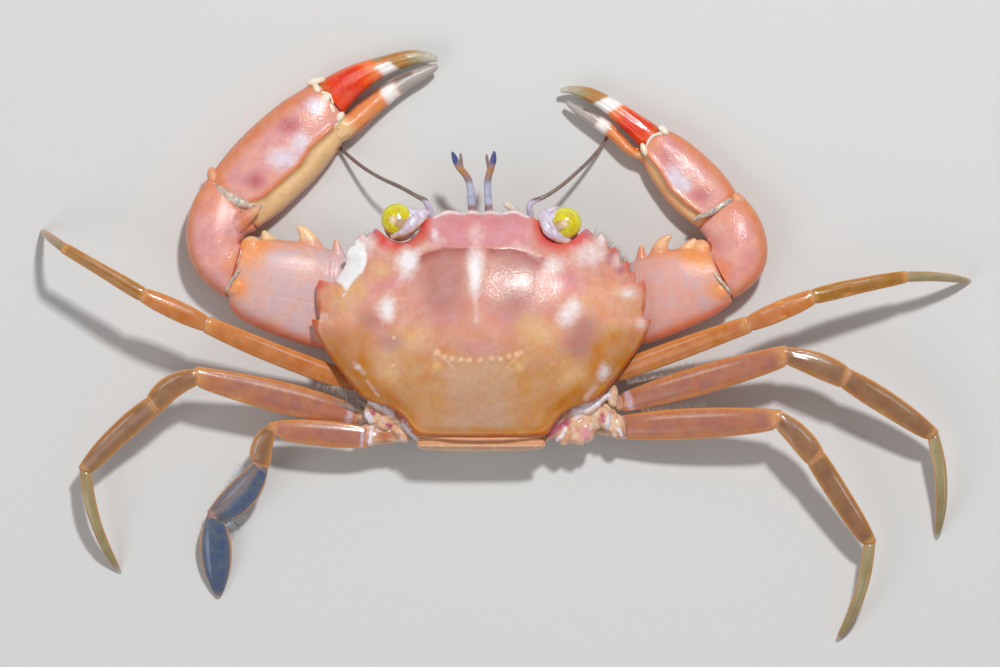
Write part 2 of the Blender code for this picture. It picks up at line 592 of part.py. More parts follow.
def build_claw(name, spec, thorax_room):
    claw_paint = painted("claw_shell", CLAW_SHELL, 0.35)
    first_face, last_face = spec["merus_faces"]
    root = Vector(spec["root"])
    meeting = Vector(spec["merus"][0][:3]) - Vector(first_face) * GAP
    size = spec["merus"][0][4]
    rows = ((*(root - Vector(first_face)), size * 1.5, size), (*meeting, size * 1.6, size * 0.95))
    coxa = place(name + "_coxa", tube(rows, steps=4, sides=12, last=first_face), root, claw_paint)
    carve(coxa, thorax_room)

    def added(piece_name, solid):
        return place(name + piece_name, solid, (0, 0, 0), claw_paint)

    merus = added("_merus", tube(spec["merus"], steps=2, sides=16, first=first_face, last=last_face))
    spines = [added(f"_spine_{i}", tube(rows, steps=1, sides=8, power=2.0))
              for i, rows in enumerate(spec["spines"])]
    fuse(merus, spines)
    first_face, last_face = spec["carpus_faces"]
    rows = list(spec["carpus"])
    carpus = added("_carpus", tube(rows, steps=2, sides=16, first=first_face, last=last_face))
    fuse(carpus, [added("_carpus_spine", tube(spec["carpus_spine"], steps=1, sides=8, power=2.0))])
    first_face, last_face = spec["palm_faces"]
    rows = spec["palm"]
    palm = added("_palm", rest_on_floor(tube(rows, steps=2, sides=16, first=first_face, last=last_face)))
    palm_end = Vector(rows[-1][:3])
    rows = list(spec["fixed_finger"])
    hidden = Vector(rows[0][:3]).lerp(Vector(spec["palm"][-3][:3]), 0.5)
    rows.insert(0, (*hidden, rows[0][3] * 1.45, rows[0][4] * 1.2))
    fuse(palm, [added("_fixed_finger", tube(rows, steps=2, sides=10))])
    place(name + "_finger", tube(spec["finger"], steps=2, sides=12, first=last_face), palm_end,
          painted("finger_shell", FINGER_SHELL, 0.3))


EYE_CENTRE = (12.45, 15.5, 11.3)
EYE_RADIUS = 2.5
EYE_FLAT = 1.15              # how far from its middle the eye meets its stalk
STALK_ROOT = (8.6, 15.9, 10.4)


def build_eye(side_name, side, shell_room):
    centre = Vector((side * EYE_CENTRE[0], *EYE_CENTRE[1:]))
    root = Vector((side * STALK_ROOT[0], *STALK_ROOT[1:]))
    out = (centre - root).normalized()
    ball = bmesh.new()
    bmesh.ops.create_uvsphere(ball, u_segments=18, v_segments=12, radius=EYE_RADIUS,
                              matrix=Matrix.Translation(centre))
    cut_flat(ball, centre - out * EYE_FLAT, -out)
    place("eye_" + side_name, ball, centre, painted("eye_yellow", EYE_YELLOW, 0.15))
    end = centre - out * (EYE_FLAT + GAP)
    rows = ((*root, 2.3, 2.2), (*end, 4.3, 3.8))
    stalk = place("eyestalk_" + side_name, tube(rows, steps=4, sides=12, last=out), root,
                  painted("stalk_skin", STALK_SKIN, 0.35))
    carve(stalk, shell_room)


# The small feelers between the eyes: stalk rows, then the two whips at its end.
ANTENNULES = {
    "antennule_left": {
        "stalk": ((-1.3, 15.4, 7.9, 1.3, 1.3), (-1.4, 17.9, 9.0, 1.2, 1.2), (-1.75, 21.4, 10.4, 1.1, 1.1),
                  (-2.9, 23.1, 11.2, 1.0, 1.0), (-3.4, 23.6, 11.5, 1.0, 1.0)),
        "brush": ((-3.3, 23.4, 11.4, 0.9, 0.9), (-3.8, 24.5, 11.9, 1.15, 0.8),
                  (-4.35, 25.8, 12.5, 0.35, 0.35)),
        "whip": ((-2.9, 23.3, 11.3, 0.55, 0.55), (-3.0, 24.5, 12.0, 0.5, 0.5),
                 (-3.1, 25.6, 12.6, 0.35, 0.35)),
    },
    "antennule_right": {
        "stalk": ((1.1, 15.4, 7.9, 1.3, 1.3), (1.1, 17.9, 9.0, 1.2, 1.2), (0.9, 21.3, 10.4, 1.1, 1.1),
                  (1.4, 23.2, 11.2, 1.0, 1.0), (1.6, 23.7, 11.5, 1.0, 1.0)),
        "brush": ((1.5, 23.5, 11.4, 0.9, 0.9), (1.8, 24.6, 11.9, 1.15, 0.8),
                  (1.95, 25.9, 12.5, 0.35, 0.35)),
        "whip": ((1.2, 23.3, 11.3, 0.55, 0.55), (0.9, 24.4, 12.0, 0.5, 0.5), (0.8, 25.4, 12.6, 0.35, 0.35)),
    },
}
# The long feelers, which droop forward from beside the eyes until their tips are under the claws.
ANTENNAE = {
    "antenna_left": ((-7.3, 15.2, 8.4, 1.3, 1.3), (-7.6, 16.6, 9.0, 1.1, 1.1),
                     (-8.2, 18.4, 9.8, 0.95, 0.95),
                     (-9.7, 19.3, 9.9, 0.6, 0.6), (-12.2, 20.7, 8.9, 0.55, 0.55),
                     (-15.2, 22.1, 6.9, 0.5, 0.5),
                     (-18.2, 24.0, 4.0, 0.5, 0.5), (-20.8, 26.2, 1.5, 0.5, 0.5),
                     (-22.0, 27.3, 0.8, 0.5, 0.5)),
    "antenna_right": ((7.3, 15.2, 8.4, 1.3, 1.3), (7.4, 16.6, 9.0, 1.1, 1.1), (7.3, 18.2, 9.8, 0.95, 0.95),
                      (9.5, 19.2, 9.9, 0.6, 0.6), (11.8, 20.7, 8.9, 0.55, 0.55),
                      (14.0, 22.6, 6.9, 0.5, 0.5),
                      (16.4, 24.9, 4.2, 0.5, 0.5), (18.4, 27.4, 1.9, 0.5, 0.5),
                      (19.4, 29.4, 0.8, 0.5, 0.5)),
}


def build_feelers(shell_room, thorax_room):
    paint = painted("feeler_grey", FEELER_GREY, 0.45)
    for name, spec in ANTENNULES.items():
        stalk = place(name, tube(spec["stalk"], steps=2, sides=8), (0, 0, 0), paint)
        whips = [place(f"{name}_{kind}", tube(spec[kind], steps=2, sides=6), (0, 0, 0), paint)
                 for kind in ("brush", "whip")]
        fuse(stalk, whips)
        carve(stalk, shell_room)
        carve(stalk, thorax_room)
    for name, rows in ANTENNAE.items():
        feeler = place(name, tube(rows, steps=3, sides=8), (0, 0, 0), paint)
        carve(feeler, shell_room)
        carve(feeler, thorax_room)


# The two plates that close the mouth, under the front of the body.
MOUTH_PLATE = ((2.5, 6.6, 0.9, 3.6, 1.5), (2.5, 9.6, 2.6, 4.4, 1.6), (2.4, 12.6, 5.0, 3.8, 1.5),
               (2.2, 13.8, 6.0, 2.4, 1.2))


def build_mouth(thorax_room):
    paint = painted("belly_shell", BELLY_SHELL, 0.45)
    for side_name, side in (("left", -1), ("right", 1)):
        rows = [(side * x, y, z, width, thick) for x, y, z, width, thick in MOUTH_PLATE]
        plate = place("mouth_plate_" + side_name, tube(rows, steps=2, sides=12, power=3.0),
        (0, 0, 0), paint)
        carve(plate, thorax_room)


def main():
    clear_scene()
    crab = bpy.data.objects.new("crab", None)
    bpy.context.scene.collection.objects.link(crab)
    shell_room = build_shell()
    thorax_room = build_thorax()
    for name, spec in LEGS.items():
        build_leg(name, spec, thorax_room)
    for name in STUMPS:
        build_stump(name, thorax_room)
    for name, spec in CLAWS.items():
        build_claw(name, spec, thorax_room)
    for side_name, side in (("left", -1), ("right", 1)):
        build_eye(side_name, side, shell_room)
    build_feelers(shell_room, thorax_room)
    build_mouth(thorax_room)


main()
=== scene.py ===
# %% [markdown]
# # A swimming crab, dressed for its portrait
# The solid model of the crab comes in with one call, as plain faceted shapes in their true places.
# This lesson turns each of them into shell, skin and eye: it rounds them, gives them relief, and
# paints them. Lengths in it are in millimetres, and MM turns them to Blender's metres.

# %% The frame
import math
import random

import bmesh
import bpy
import numpy as np
from mathutils import Matrix, Vector, kdtree, noise


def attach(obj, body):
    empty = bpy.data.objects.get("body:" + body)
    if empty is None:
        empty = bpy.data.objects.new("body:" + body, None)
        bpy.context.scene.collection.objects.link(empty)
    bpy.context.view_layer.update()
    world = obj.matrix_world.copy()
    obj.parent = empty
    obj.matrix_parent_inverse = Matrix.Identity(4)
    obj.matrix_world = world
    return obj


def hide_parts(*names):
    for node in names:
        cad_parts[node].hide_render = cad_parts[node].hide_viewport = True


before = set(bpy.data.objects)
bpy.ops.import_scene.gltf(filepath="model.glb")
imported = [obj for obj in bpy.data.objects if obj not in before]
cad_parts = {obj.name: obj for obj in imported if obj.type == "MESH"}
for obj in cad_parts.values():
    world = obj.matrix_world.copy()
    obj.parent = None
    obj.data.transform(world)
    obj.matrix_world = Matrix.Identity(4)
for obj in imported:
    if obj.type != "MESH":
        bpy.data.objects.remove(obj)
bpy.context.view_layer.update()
MM = 0.001
rng = random.Random(7)
print("solids:", len(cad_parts))

# %% [markdown]
# ## The camera
# A diver photographed the crab from straight above through a long lens, so nothing in it narrows
# with distance. A camera close by would show more of the sides than the picture does. This one is
# 0.9 m up with a lens long enough that 150 mm of floor fills the width of the frame. The photo has
# the full, flat colours of a flash, so colours are shown as they are, with no film curve over them.

# %% Camera
CAMERA_HEIGHT = 900.0
FRAME_WIDTH = 150.0
FRAME_CENTRE = (2.8, -1.3)
SHELL_HEIGHT = 9.0           # the camera is sharp and true to size at this level

view = bpy.data.cameras.new("view_from_above")
view.lens = view.sensor_width * (CAMERA_HEIGHT - SHELL_HEIGHT) / FRAME_WIDTH
camera = bpy.data.objects.new("view_from_above", view)
camera.location = Vector((*FRAME_CENTRE, CAMERA_HEIGHT)) * MM
bpy.context.scene.collection.objects.link(camera)
bpy.context.scene.camera = camera
bpy.context.scene.view_settings.view_transform = "Standard"
print("lens:", round(view.lens), "mm")

# %% [markdown]
# ## Colour and nodes
# Hex codes are how most people write a colour down, but Blender works with linear light. One
# function turns one into the other. A second adds a node, sets it and links it, so that a material
# further down reads like a list of what it is made of.

# %% Helpers for colour and nodes
def colour(code):
    """A hex colour as linear light."""
    parts = [int(code[i:i + 2], 16) / 255 for i in (1, 3, 5)]
    return (*[c / 12.92 if c <= 0.04045 else ((c + 0.055) / 1.055) ** 2.4 for c in parts], 1.0)


def add(tree, kind, settings=None, inputs=None):
    """A new node with its settings. An input is a value, or the socket that feeds it."""
    made = tree.nodes.new(kind)
    for key, value in (settings or {}).items():
        setattr(made, key, value)
    for key, value in (inputs or {}).items():
        if isinstance(value, bpy.types.NodeSocket):
            tree.links.new(value, made.inputs[key])
        else:
            made.inputs[key].default_value = value
    return made


# %% [markdown]
# ## Crab shell
# A crab's shell is chitin hardened with lime and topped with a thin waxy skin. It grows with its
# colours in it, as clouds and spots, and looks wet even when it is dry. So the material has a
# ground colour, clouds that wander over it, layers of paint that follow masks stored on the mesh,
# a mottle that shifts the hue a little, fine pits for relief, and a clear coat that gives most of
# the gloss. The masks could be textures, but values stored at each corner of the mesh need no
# unwrapping and stay where the animal has them.

# %% The shell finish
def shell(name, ground, clouds, layers, cloud_mm=4.0, blotch_mm=1.6, hue=0.004, ragged_mm=0.9,
          grain_mm=0.4, depth_mm=0.04, roughness=0.42, coat=0.5, flesh=0.12):
    """A shell material. clouds is a second ground colour, and layers are mask, colour and strength."""
    made = bpy.data.materials.new(name)
    made.use_nodes = True
    tree = made.node_tree
    surface = tree.nodes["Principled BSDF"]
    place = add(tree, "ShaderNodeTexCoord").outputs["Object"]
    drift = add(tree, "ShaderNodeTexNoise", {}, {
        "Vector": place, "Scale": 1 / (cloud_mm * MM), "Detail": 4.0, "Roughness": 0.6})
    soft = add(tree, "ShaderNodeMapRange", {"interpolation_type": "SMOOTHSTEP"}, {
        "Value": drift.outputs["Fac"], "From Min": 0.38, "From Max": 0.66})
    paint = add(tree, "ShaderNodeMix", {"data_type": "RGBA"}, {
        0: soft.outputs[0], 6: colour(ground), 7: colour(clouds)}).outputs[2]
    ragged = add(tree, "ShaderNodeTexNoise", {}, {
        "Vector": place, "Scale": 1 / (ragged_mm * MM), "Detail": 3.0, "Roughness": 0.65})
    for mask, code, strength in layers:
        stored = add(tree, "ShaderNodeAttribute", {"attribute_name": mask})
        edge = add(tree, "ShaderNodeMath", {"operation": "MULTIPLY_ADD"}, {
            0: ragged.outputs["Fac"], 1: 0.5, 2: stored.outputs["Fac"]})
        amount = add(tree, "ShaderNodeMapRange", {}, {
            "Value": edge.outputs[0], "From Min": 0.42, "From Max": 1.2, "To Max": strength})
        paint = add(tree, "ShaderNodeMix", {"data_type": "RGBA"}, {
            0: amount.outputs[0], 6: paint, 7: colour(code)}).outputs[2]
    mottle = add(tree, "ShaderNodeMapRange", {}, {
        "Value": ragged.outputs["Fac"], "From Min": 0.3, "From Max": 0.7, "To Min": 0.93, "To Max": 1.06})
    blotch = add(tree, "ShaderNodeTexNoise", {}, {
        "Vector": place, "Scale": 1 / (blotch_mm * MM), "Detail": 2.0, "Roughness": 0.55})
    red, green, _ = add(tree, "ShaderNodeSeparateColor", {}, {0: blotch.outputs["Color"]}).outputs
    warmth = add(tree, "ShaderNodeMapRange", {}, {
        "Value": red, "From Min": 0.32, "From Max": 0.68, "To Min": 0.5 - hue, "To Max": 0.5 + hue})
    fullness = add(tree, "ShaderNodeMapRange", {}, {
        "Value": green, "From Min": 0.32, "From Max": 0.68, "To Min": 1 - 12 * hue, "To Max": 1 + 12 * hue})
    paint = add(tree, "ShaderNodeHueSaturation", {}, {
        "Hue": warmth.outputs[0], "Saturation": fullness.outputs[0], "Value": mottle.outputs[0],
        "Color": paint}).outputs[0]
    grain = add(tree, "ShaderNodeTexNoise", {}, {
        "Vector": place, "Scale": 1 / (grain_mm * MM), "Detail": 3.0, "Roughness": 0.6})
    pits = add(tree, "ShaderNodeBump", {}, {
        "Height": grain.outputs["Fac"], "Distance": depth_mm * MM, "Strength": 0.8})
    shine = add(tree, "ShaderNodeMapRange", {}, {
        "Value": ragged.outputs["Fac"], "To Min": roughness - 0.1, "To Max": roughness + 0.12})
    tree.links.new(paint, surface.inputs["Base Color"])
    tree.links.new(pits.outputs[0], surface.inputs["Normal"])
    tree.links.new(pits.outputs[0], surface.inputs["Coat Normal"])
    tree.links.new(shine.outputs[0], surface.inputs["Roughness"])
    surface.inputs["IOR"].default_value = 1.34
    surface.inputs["Coat Weight"].default_value = coat
    surface.inputs["Coat Roughness"].default_value = 0.1
    surface.inputs["Subsurface Weight"].default_value = flesh
    surface.inputs["Subsurface Radius"].default_value = (1.0, 0.45, 0.3)
    surface.inputs["Subsurface Scale"].default_value = 0.8 * MM
    return made


# %% [markdown]
# ## From solid to shell
# The solids are loose triangles. Merging their corners, pairing the triangles and subdividing them
# gives a dense, rounded mesh to paint and carve. Building every piece again from curves would be
# cleaner, but it would drift from the solid. Rounding shrinks a shape a little, so each one is
# grown by a hair first, and its flat end faces get an inset loop that keeps them flat.

# %% Rounding a solid
def merged(node):
    """The node's mesh with its corners joined and its triangles paired where they can be."""
    bm = bmesh.new()
    bm.from_mesh(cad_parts[node].data)
    bmesh.ops.remove_doubles(bm, verts=bm.verts, dist=0.004 * MM)
    bmesh.ops.dissolve_limit(bm, angle_limit=math.radians(0.4), verts=bm.verts, edges=bm.edges)
    bmesh.ops.join_triangles(bm, faces=bm.faces, angle_face_threshold=math.radians(50),
                             angle_shape_threshold=math.radians(110))
    return bm


def rounded(node, levels, grow=0.05, crease=None):
    """A smooth, dense copy of the node, ready to be painted. Edges that pass the crease test stay crisp."""
    bm = merged(node)
    for vert in bm.verts:
        vert.co += vert.normal * grow * MM
    if crease:
        crisp = bm.edges.layers.float.new("crease_edge")
        fixed = bm.verts.layers.float.new("crease_vert")
        for edge in bm.edges:
            if crease(edge):
                edge[crisp] = 0.8
                for vert in edge.verts:
                    vert[fixed] = 0.75
    ends = [face for face in bm.faces if len(face.verts) > 5]
    if ends:
        bmesh.ops.inset_individual(bm, faces=ends, thickness=0.12 * MM)
    obj = solid_of(bm, node + "_dressed")
    smooth = obj.modifiers.new("smooth", "SUBSURF")
    smooth.levels = smooth.render_levels = levels
    apply_modifiers(obj)
    return obj


def solid_of(bm, name):
    """A named object from a bmesh, with its faces turned outwards."""
    bmesh.ops.recalc_face_normals(bm, faces=bm.faces)
    mesh = bpy.data.meshes.new(name)
    bm.to_mesh(mesh)
    bm.free()
    mesh.shade_smooth()
    obj = bpy.data.objects.new(name, mesh)
    bpy.context.scene.collection.objects.link(obj)
    return obj


def apply_modifiers(obj):
    """Makes what the modifiers show the mesh itself."""
    graph = bpy.context.evaluated_depsgraph_get()
    mesh = bpy.data.meshes.new_from_object(obj.evaluated_get(graph))
    obj.modifiers.clear()
    obj.data = mesh
    mesh.shade_smooth()


# %% [markdown]
# ## Knobs and cords
# What is too fine for the solids starts from a ball or from a cord that tapers along a curve. The
# ball is stretched and turned in its mesh, so that the object itself stays at the origin. Knobs
# that have to look like one body are joined, made anew on an even grid and smoothed.

# %% Knobs and cords
def lump(name, centre, size, turn=0.0, lean=0.0, segments=24):
    """A rounded knob: half its length, width and height, and its turn seen from above in degrees."""
    bm = bmesh.new()
    place = (Matrix.Scale(MM, 4) @ Matrix.Translation(centre) @ Matrix.Rotation(math.radians(turn), 4, "Z")
             @ Matrix.Rotation(math.radians(lean), 4, "Y") @ Matrix.Diagonal((*size, 1.0)))
    bmesh.ops.create_uvsphere(bm, u_segments=segments, v_segments=segments // 2, radius=1.0, matrix=place)
    return solid_of(bm, name)


def strand(name, points, sides=3, steps=4):
    """A round, tapering cord through points of x, y, z and half its thickness, with closed ends."""
    curve = bpy.data.curves.new(name, "CURVE")
    curve.dimensions = "3D"
    curve.bevel_depth = MM
    curve.bevel_resolution = sides
    curve.resolution_u = steps
    curve.use_fill_caps = True
    spline = curve.splines.new("NURBS")
    spline.points.add(len(points) - 1)
    for point, (x, y, z, radius) in zip(spline.points, points):
        point.co = (x * MM, y * MM, z * MM, 1.0)
        point.radius = radius
    spline.order_u = 3
    spline.use_endpoint_u = True
    path = bpy.data.objects.new(name + "_path", curve)
    bpy.context.scene.collection.objects.link(path)
    bm = bmesh.new()
    bm.from_mesh(bpy.data.meshes.new_from_object(path.evaluated_get(bpy.context.evaluated_depsgraph_get())))
    bpy.data.objects.remove(path)
    bmesh.ops.remove_doubles(bm, verts=bm.verts, dist=0.001 * MM)
    return solid_of(bm, name)


def grown_together(name, lumps, grid=0.15, rounds=3):
    """One body from several lumps, with soft valleys where they meet."""
    bm = bmesh.new()
    for piece in lumps:
        bm.from_mesh(piece.data)
        bpy.data.objects.remove(piece)
    obj = solid_of(bm, name)
    even = obj.modifiers.new("even", "REMESH")
    even.mode = "VOXEL"
    even.voxel_size = grid * MM
    settle = obj.modifiers.new("settle", "SMOOTH")
    settle.iterations = rounds
    apply_modifiers(obj)
    return obj


# %% [markdown]
# ## Measuring, moving and keeping
# All relief and paint here starts from two numbers for each corner of a mesh: where it is and which
# way it faces. Relief moves the corner along that way, and paint is kept on the mesh as a value.
# At the end a piece puts on its finish, joins the body and stands in for its solid.

# %% Measuring a mesh, moving it and dressing it
def corners(obj):
    """Where the mesh's corners are, and which way each faces, in millimetres."""
    count = len(obj.data.vertices)
    at, facing = np.empty(count * 3), np.empty(count * 3)
    obj.data.vertices.foreach_get("co", at)
    obj.data.vertices.foreach_get("normal", facing)
    return at.reshape(-1, 3) / MM, facing.reshape(-1, 3)


def push_out(obj, height):
    """Moves each corner along its normal by its height in millimetres."""
    at, facing = corners(obj)
    moved = (at + facing * np.asarray(height)[:, None]) * MM
    obj.data.vertices.foreach_set("co", moved.ravel())
    obj.data.update()


def store(obj, **masks):
    """Keeps each mask on the mesh, where its material can read it."""
    for name, values in masks.items():
        layer = obj.data.attributes.new(name, "FLOAT", "POINT")
        layer.data.foreach_set("value", np.clip(values, 0, 1).astype(np.float32))


def wear(obj, finish, slot, *nodes):
    """Gives the piece its material and lets it stand for those solids."""
    obj.data.materials.clear()
    obj.data.materials.append(finish)
    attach(obj, "root")
    if nodes:
        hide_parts(*nodes)
    return obj


# %% [markdown]
# ## Masks
# A mask is a number from 0 to 1 at each corner of a mesh that says how much of a paint or a relief
# is there. Three shapes are enough for this animal: a soft spot, a soft line, and the side of a
# line that a corner is on. For a leg, what matters is how far along it a corner is and how far
# across, so those two are measured from the mesh itself. Noise roughens what would look ruled.

# %% Masks
def ramp(values, low, high):
    """0 below low, 1 above high and a smooth rise between."""
    share = np.clip((values - low) / (high - low), 0, 1)
    return share * share * (3 - 2 * share)


def band(values, middle, width):
    """1 at the middle and soft to both sides of it."""
    return np.exp(-((values - middle) / width) ** 2)


def rough(at, pitch, shift=(0, 0, 0)):
    """Smooth noise at each corner. The pitch is how finely it swings, and the shift gives another one."""
    return np.array([noise.noise(Vector(p) * pitch + Vector(shift)) for p in at])


def spot(at, x, y, across, along=None):
    """A soft round or oval spot seen from above."""
    along = along or across
    return np.exp(-(((at[:, 0] - x) / across) ** 2 + ((at[:, 1] - y) / along) ** 2))


def distance(at, points):
    """Each corner's distance from a line seen from above, and the side: positive is on its right."""
    best = np.full(len(at), 1e9)
    side = np.zeros(len(at))
    for (x0, y0), (x1, y1) in zip(points, points[1:]):
        along = np.array((x1 - x0, y1 - y0))
        off = at[:, :2] - (x0, y0)
        share = np.clip(off @ along / (along @ along), 0, 1)
        gap = off - share[:, None] * along
        far = np.hypot(gap[:, 0], gap[:, 1])
        nearer = far < best
        best[nearer] = far[nearer]
        side[nearer] = (along[1] * off[:, 0] - along[0] * off[:, 1])[nearer]
    return best, np.sign(side) * best


def line(at, points, width):
    """A soft line seen from above."""
    return band(distance(at, points)[0], 0, width)


def flank(facing):
    """The steep sides of a form, where one looks through more of the shell."""
    return 1 - ramp(facing[:, 2], 0.1, 0.62)


SLICES = 24                  # a piece's width is read in this many slices along it


def lay(at, near, far):
    """How far along from near to far each corner is, and how far across from -1 to 1."""
    near, far = np.array(near), np.array(far)
    way = far - near
    length = np.linalg.norm(way)
    way = way / length
    across = np.cross((0, 0, 1), way)
    across /= np.linalg.norm(across)
    along = (at - near) @ way / length
    off = (at - near) @ across
    steps = np.clip((along * SLICES).astype(int), 0, SLICES - 1)
    low = np.array([off[steps == k].min() if (steps == k).any() else np.nan for k in range(SLICES)])
    high = np.array([off[steps == k].max() if (steps == k).any() else np.nan for k in range(SLICES)])
    known = ~np.isnan(low)
    steps = (np.arange(SLICES) + 0.5) / SLICES
    low, high = (np.interp(along, steps, np.convolve(
        np.pad(np.interp(steps, steps[known], side[known]), 1, "edge"), np.ones(3) / 3, "valid"))
        for side in (low, high))
    return along, np.clip(2 * (off - low) / np.maximum(high - low, 0.05) - 1, -1, 1)


# %% [markdown]
# ## Where pieces meet
# A leg's segments face each other across a narrow gap, which on the animal is filled with soft
# skin. The corners of one solid that lie next to the other show where the joint is, how wide it is
# and which way it looks, so the skin can be fitted without a table of joints.

# %% Joints and their skin
JOINT_REACH = 0.45           # how much wider than its narrowest part a joint's gap may be
HALF_SKIN = 0.55             # half the thickness of the skin in a joint


def joint(one, other):
    """The middle of the gap between two nodes, and the corners of both that line it."""
    tree = kdtree.KDTree(len(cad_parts[other].data.vertices))
    for i, vert in enumerate(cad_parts[other].data.vertices):
        tree.insert(vert.co / MM, i)
    tree.balance()
    pairs = [(vert.co / MM, *tree.find(vert.co / MM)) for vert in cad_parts[one].data.vertices]
    reach = min(pair[3] for pair in pairs) + JOINT_REACH
    lining = np.array([corner for pair in pairs if pair[3] < reach for corner in pair[:2]])
    return lining.mean(0), lining


def joint_skin(one, other, finish, fill=0.86):
    """A small soft cushion that fills the gap between two nodes."""
    middle, lining = joint(one, other)
    spread, axes = np.linalg.eigh(np.cov((lining - middle).T))
    size = np.sqrt(np.maximum(spread, 0)) * 2 * fill / math.sqrt(2)
    size[0] = HALF_SKIN
    shape = Matrix([[axes[r][c] * size[c] for c in range(3)] for r in range(3)]).to_4x4()
    bm = bmesh.new()
    bmesh.ops.create_uvsphere(bm, u_segments=20, v_segments=12, radius=1.0)
    bmesh.ops.transform(bm, matrix=Matrix.Scale(MM, 4) @ Matrix.Translation(middle) @ shape,
                        verts=bm.verts)
    obj = solid_of(bm, f"skin_{one}_{other.split('_')[-1]}")
    store(obj, blush=spot(corners(obj)[0], *middle[:2], 0.8))
    return wear(obj, finish, "stalk_skin")


# Soft moist joint skin: dull red, with hardly a shine.
SKIN = shell("arthrodial_membrane_moist", "#E3B5A0", "#C77F66", [("blush", "#B9624E", 0.4)],
             cloud_mm=1.2, roughness=0.4)


# %% [markdown]
# ## The carapace
# The shell over the back is the widest thing in the picture and carries most of its colour: pink
# and mauve in front, tan behind, red round the eye sockets, and white clouds in matched pairs. Its
# relief is low. There are swellings over the stomach and gills, shallow grooves between them, and
# one curved row of pale grains over the heart. Each is a spot or a line in the lists below.

# %% Where the shell's marks are
# Each mark is x, y, half its width and half its length.
# Two white marks, at (-6.9, 13.4) on the lobe by the left eye and at (21.9, 4.5), are painted highlights; the
# others are the shell's own white.
WHITE_MARKS_AND_HIGHLIGHTS = (
    (-0.9, 9.4, 1.35, 2.3), (-0.9, 6.4, 0.8, 2.2), (-11.2, 8.9, 1.4, 2.3), (-10.6, 9.8, 1.2, 1.2),
    (-14.0, 3.2, 1.2, 1.2), (-13.9, 1.6, 1.2, 1.2), (10.6, 8.9, 1.6, 1.2), (13.9, 2.9, 1.3, 1.3),
    (12.6, 1.1, 1.4, 1.3), (16.2, 10.6, 2.3, 1.7), (18.0, 13.0, 0.7, 1.0), (-17.4, 12.3, 1.5, 1.9),
    (21.9, 4.5, 0.5, 0.4), (-18.4, -6.3, 0.5, 0.5), (18.3, -6.9, 1.0, 1.2),
    (-6.9, 13.4, 0.6, 0.7),
)
MAUVE_MARKS = (
    (-5.4, 8.4, 3.6, 2.6), (-5.6, 4.0, 3.0, 3.4), (5.6, 8.2, 3.6, 2.4), (5.2, 4.0, 3.0, 3.4),
    (15.6, -0.4, 2.2, 2.2), (14.6, -3.4, 2.4, 1.6), (-16.6, 0.6, 2.0, 1.8), (-13.4, -2.6, 2.0, 1.4),
    (19.6, 10.4, 1.0, 1.4), (15.8, 13.8, 0.8, 1.0), (-15.8, 14.0, 0.8, 1.0),
)
PINK_MARKS = (
    (-5.2, 1.8, 2.4, 1.6), (4.2, 1.8, 2.4, 1.6), (0.0, -3.4, 4.0, 1.2), (-14.0, 6.6, 3.4, 2.2),
    (13.4, 6.4, 3.0, 2.0), (-18.4, 3.8, 2.6, 1.6), (-9.0, -2.4, 2.0, 1.2),
)
YELLOW_MARKS = (
    (-10.4, -1.9, 3.4, 2.0), (8.8, -1.6, 2.8, 2.2), (-14.4, -8.0, 2.2, 2.6), (13.6, -8.0, 2.2, 2.6),
    (-20.4, 4.0, 1.8, 2.0), (-15.0, 8.0, 1.6, 1.6), (19.0, -1.4, 2.6, 1.4), (6.6, 0.8, 1.6, 1.2),
    (-6.6, -6.1, 0.8, 0.9), (5.7, -6.1, 0.8, 0.9), (-18.2, 5.2, 1.0, 1.6),
)
# The pale marks at (22.0, 4.8), (24.0, 0.2) and (-23.6, 1.2) are painted highlights near the edge; the one at
# (20.2, 9.6) is a pale mark.
PALE_MARKS_AND_HIGHLIGHTS = (
    (20.2, 9.6, 0.7, 1.0), (22.0, 4.8, 1.4, 0.9), (24.0, 0.2, 0.9, 0.8), (-23.6, 1.2, 0.7, 0.6),
)
TOOTH_MARKS = (
    (15.9, 14.2, 0.7, 1.0), (19.6, 10.0, 0.6, 0.9), (20.8, 8.2, 0.7, 0.8), (-16.1, 14.2, 0.7, 0.9),
)
BROWN_MARKS = (
    (-19.4, -2.0, 2.6, 1.8), (-17.4, -6.0, 1.8, 3.0), (17.4, -5.0, 1.8, 3.2), (20.6, -1.6, 2.2, 1.4),
    (-12.4, -12.6, 2.4, 1.6), (12.0, -12.6, 2.4, 1.6), (-14.8, -10.4, 1.6, 2.4),
    (14.6, -10.4, 1.8, 2.0),
)
SCAR_EDGE = ((-20.6, 13.9), (-18.7, 13.0), (-17.6, 12.1), (-17.1, 10.9), (-17.0, 9.6), (-17.4, 8.3),
             (-18.3, 7.1), (-19.3, 6.2), (-20.1, 4.9), (-21.0, 5.9), (-22.3, 6.7), (-24.0, 7.6))
HEART_GRAINS = (
    (-6.5, -4.2), (-5.4, -4.8), (-4.3, -5.1), (-2.9, -5.2), (-1.7, -5.3), (-0.1, -5.3), (1.6, -5.1),
    (2.9, -5.1), (4.1, -4.8), (5.2, -4.4),
)
BROW_LEFT = ((-10.0, 10.0), (-8.0, 10.9), (-5.6, 11.6), (-2.6, 11.5))
BROW_RIGHT = ((2.0, 11.4), (4.4, 11.5), (6.4, 11.1), (8.8, 10.2))
SWEEP_LEFT = ((-5.6, 12.6), (-8.6, 11.6), (-11.4, 9.6))
# The pale line just ahead of the right brow is a painted highlight.
BROW_HIGHLIGHT_RIGHT = ((5.0, 11.9), (6.8, 11.2), (8.5, 10.1))
PALE_DOTS = ((-13.0, -1.9, 0.3), (-13.2, -6.0, 0.35))
HEART_LINES = (((-6.6, -4.1), (-5.2, -5.3), (-4.0, -6.6)), ((5.9, -4.1), (4.8, -5.3), (3.8, -6.4)))
PALE_LINES = (
    (((-19.0, -5.7), (-17.5, -7.2)), 0.5), (((-17.0, -8.4), (-15.4, -10.6)), 0.35),
    (((18.5, -6.9), (18.0, -8.0)), 0.8), (((16.9, -9.4), (15.6, -10.9)), 0.6),
)
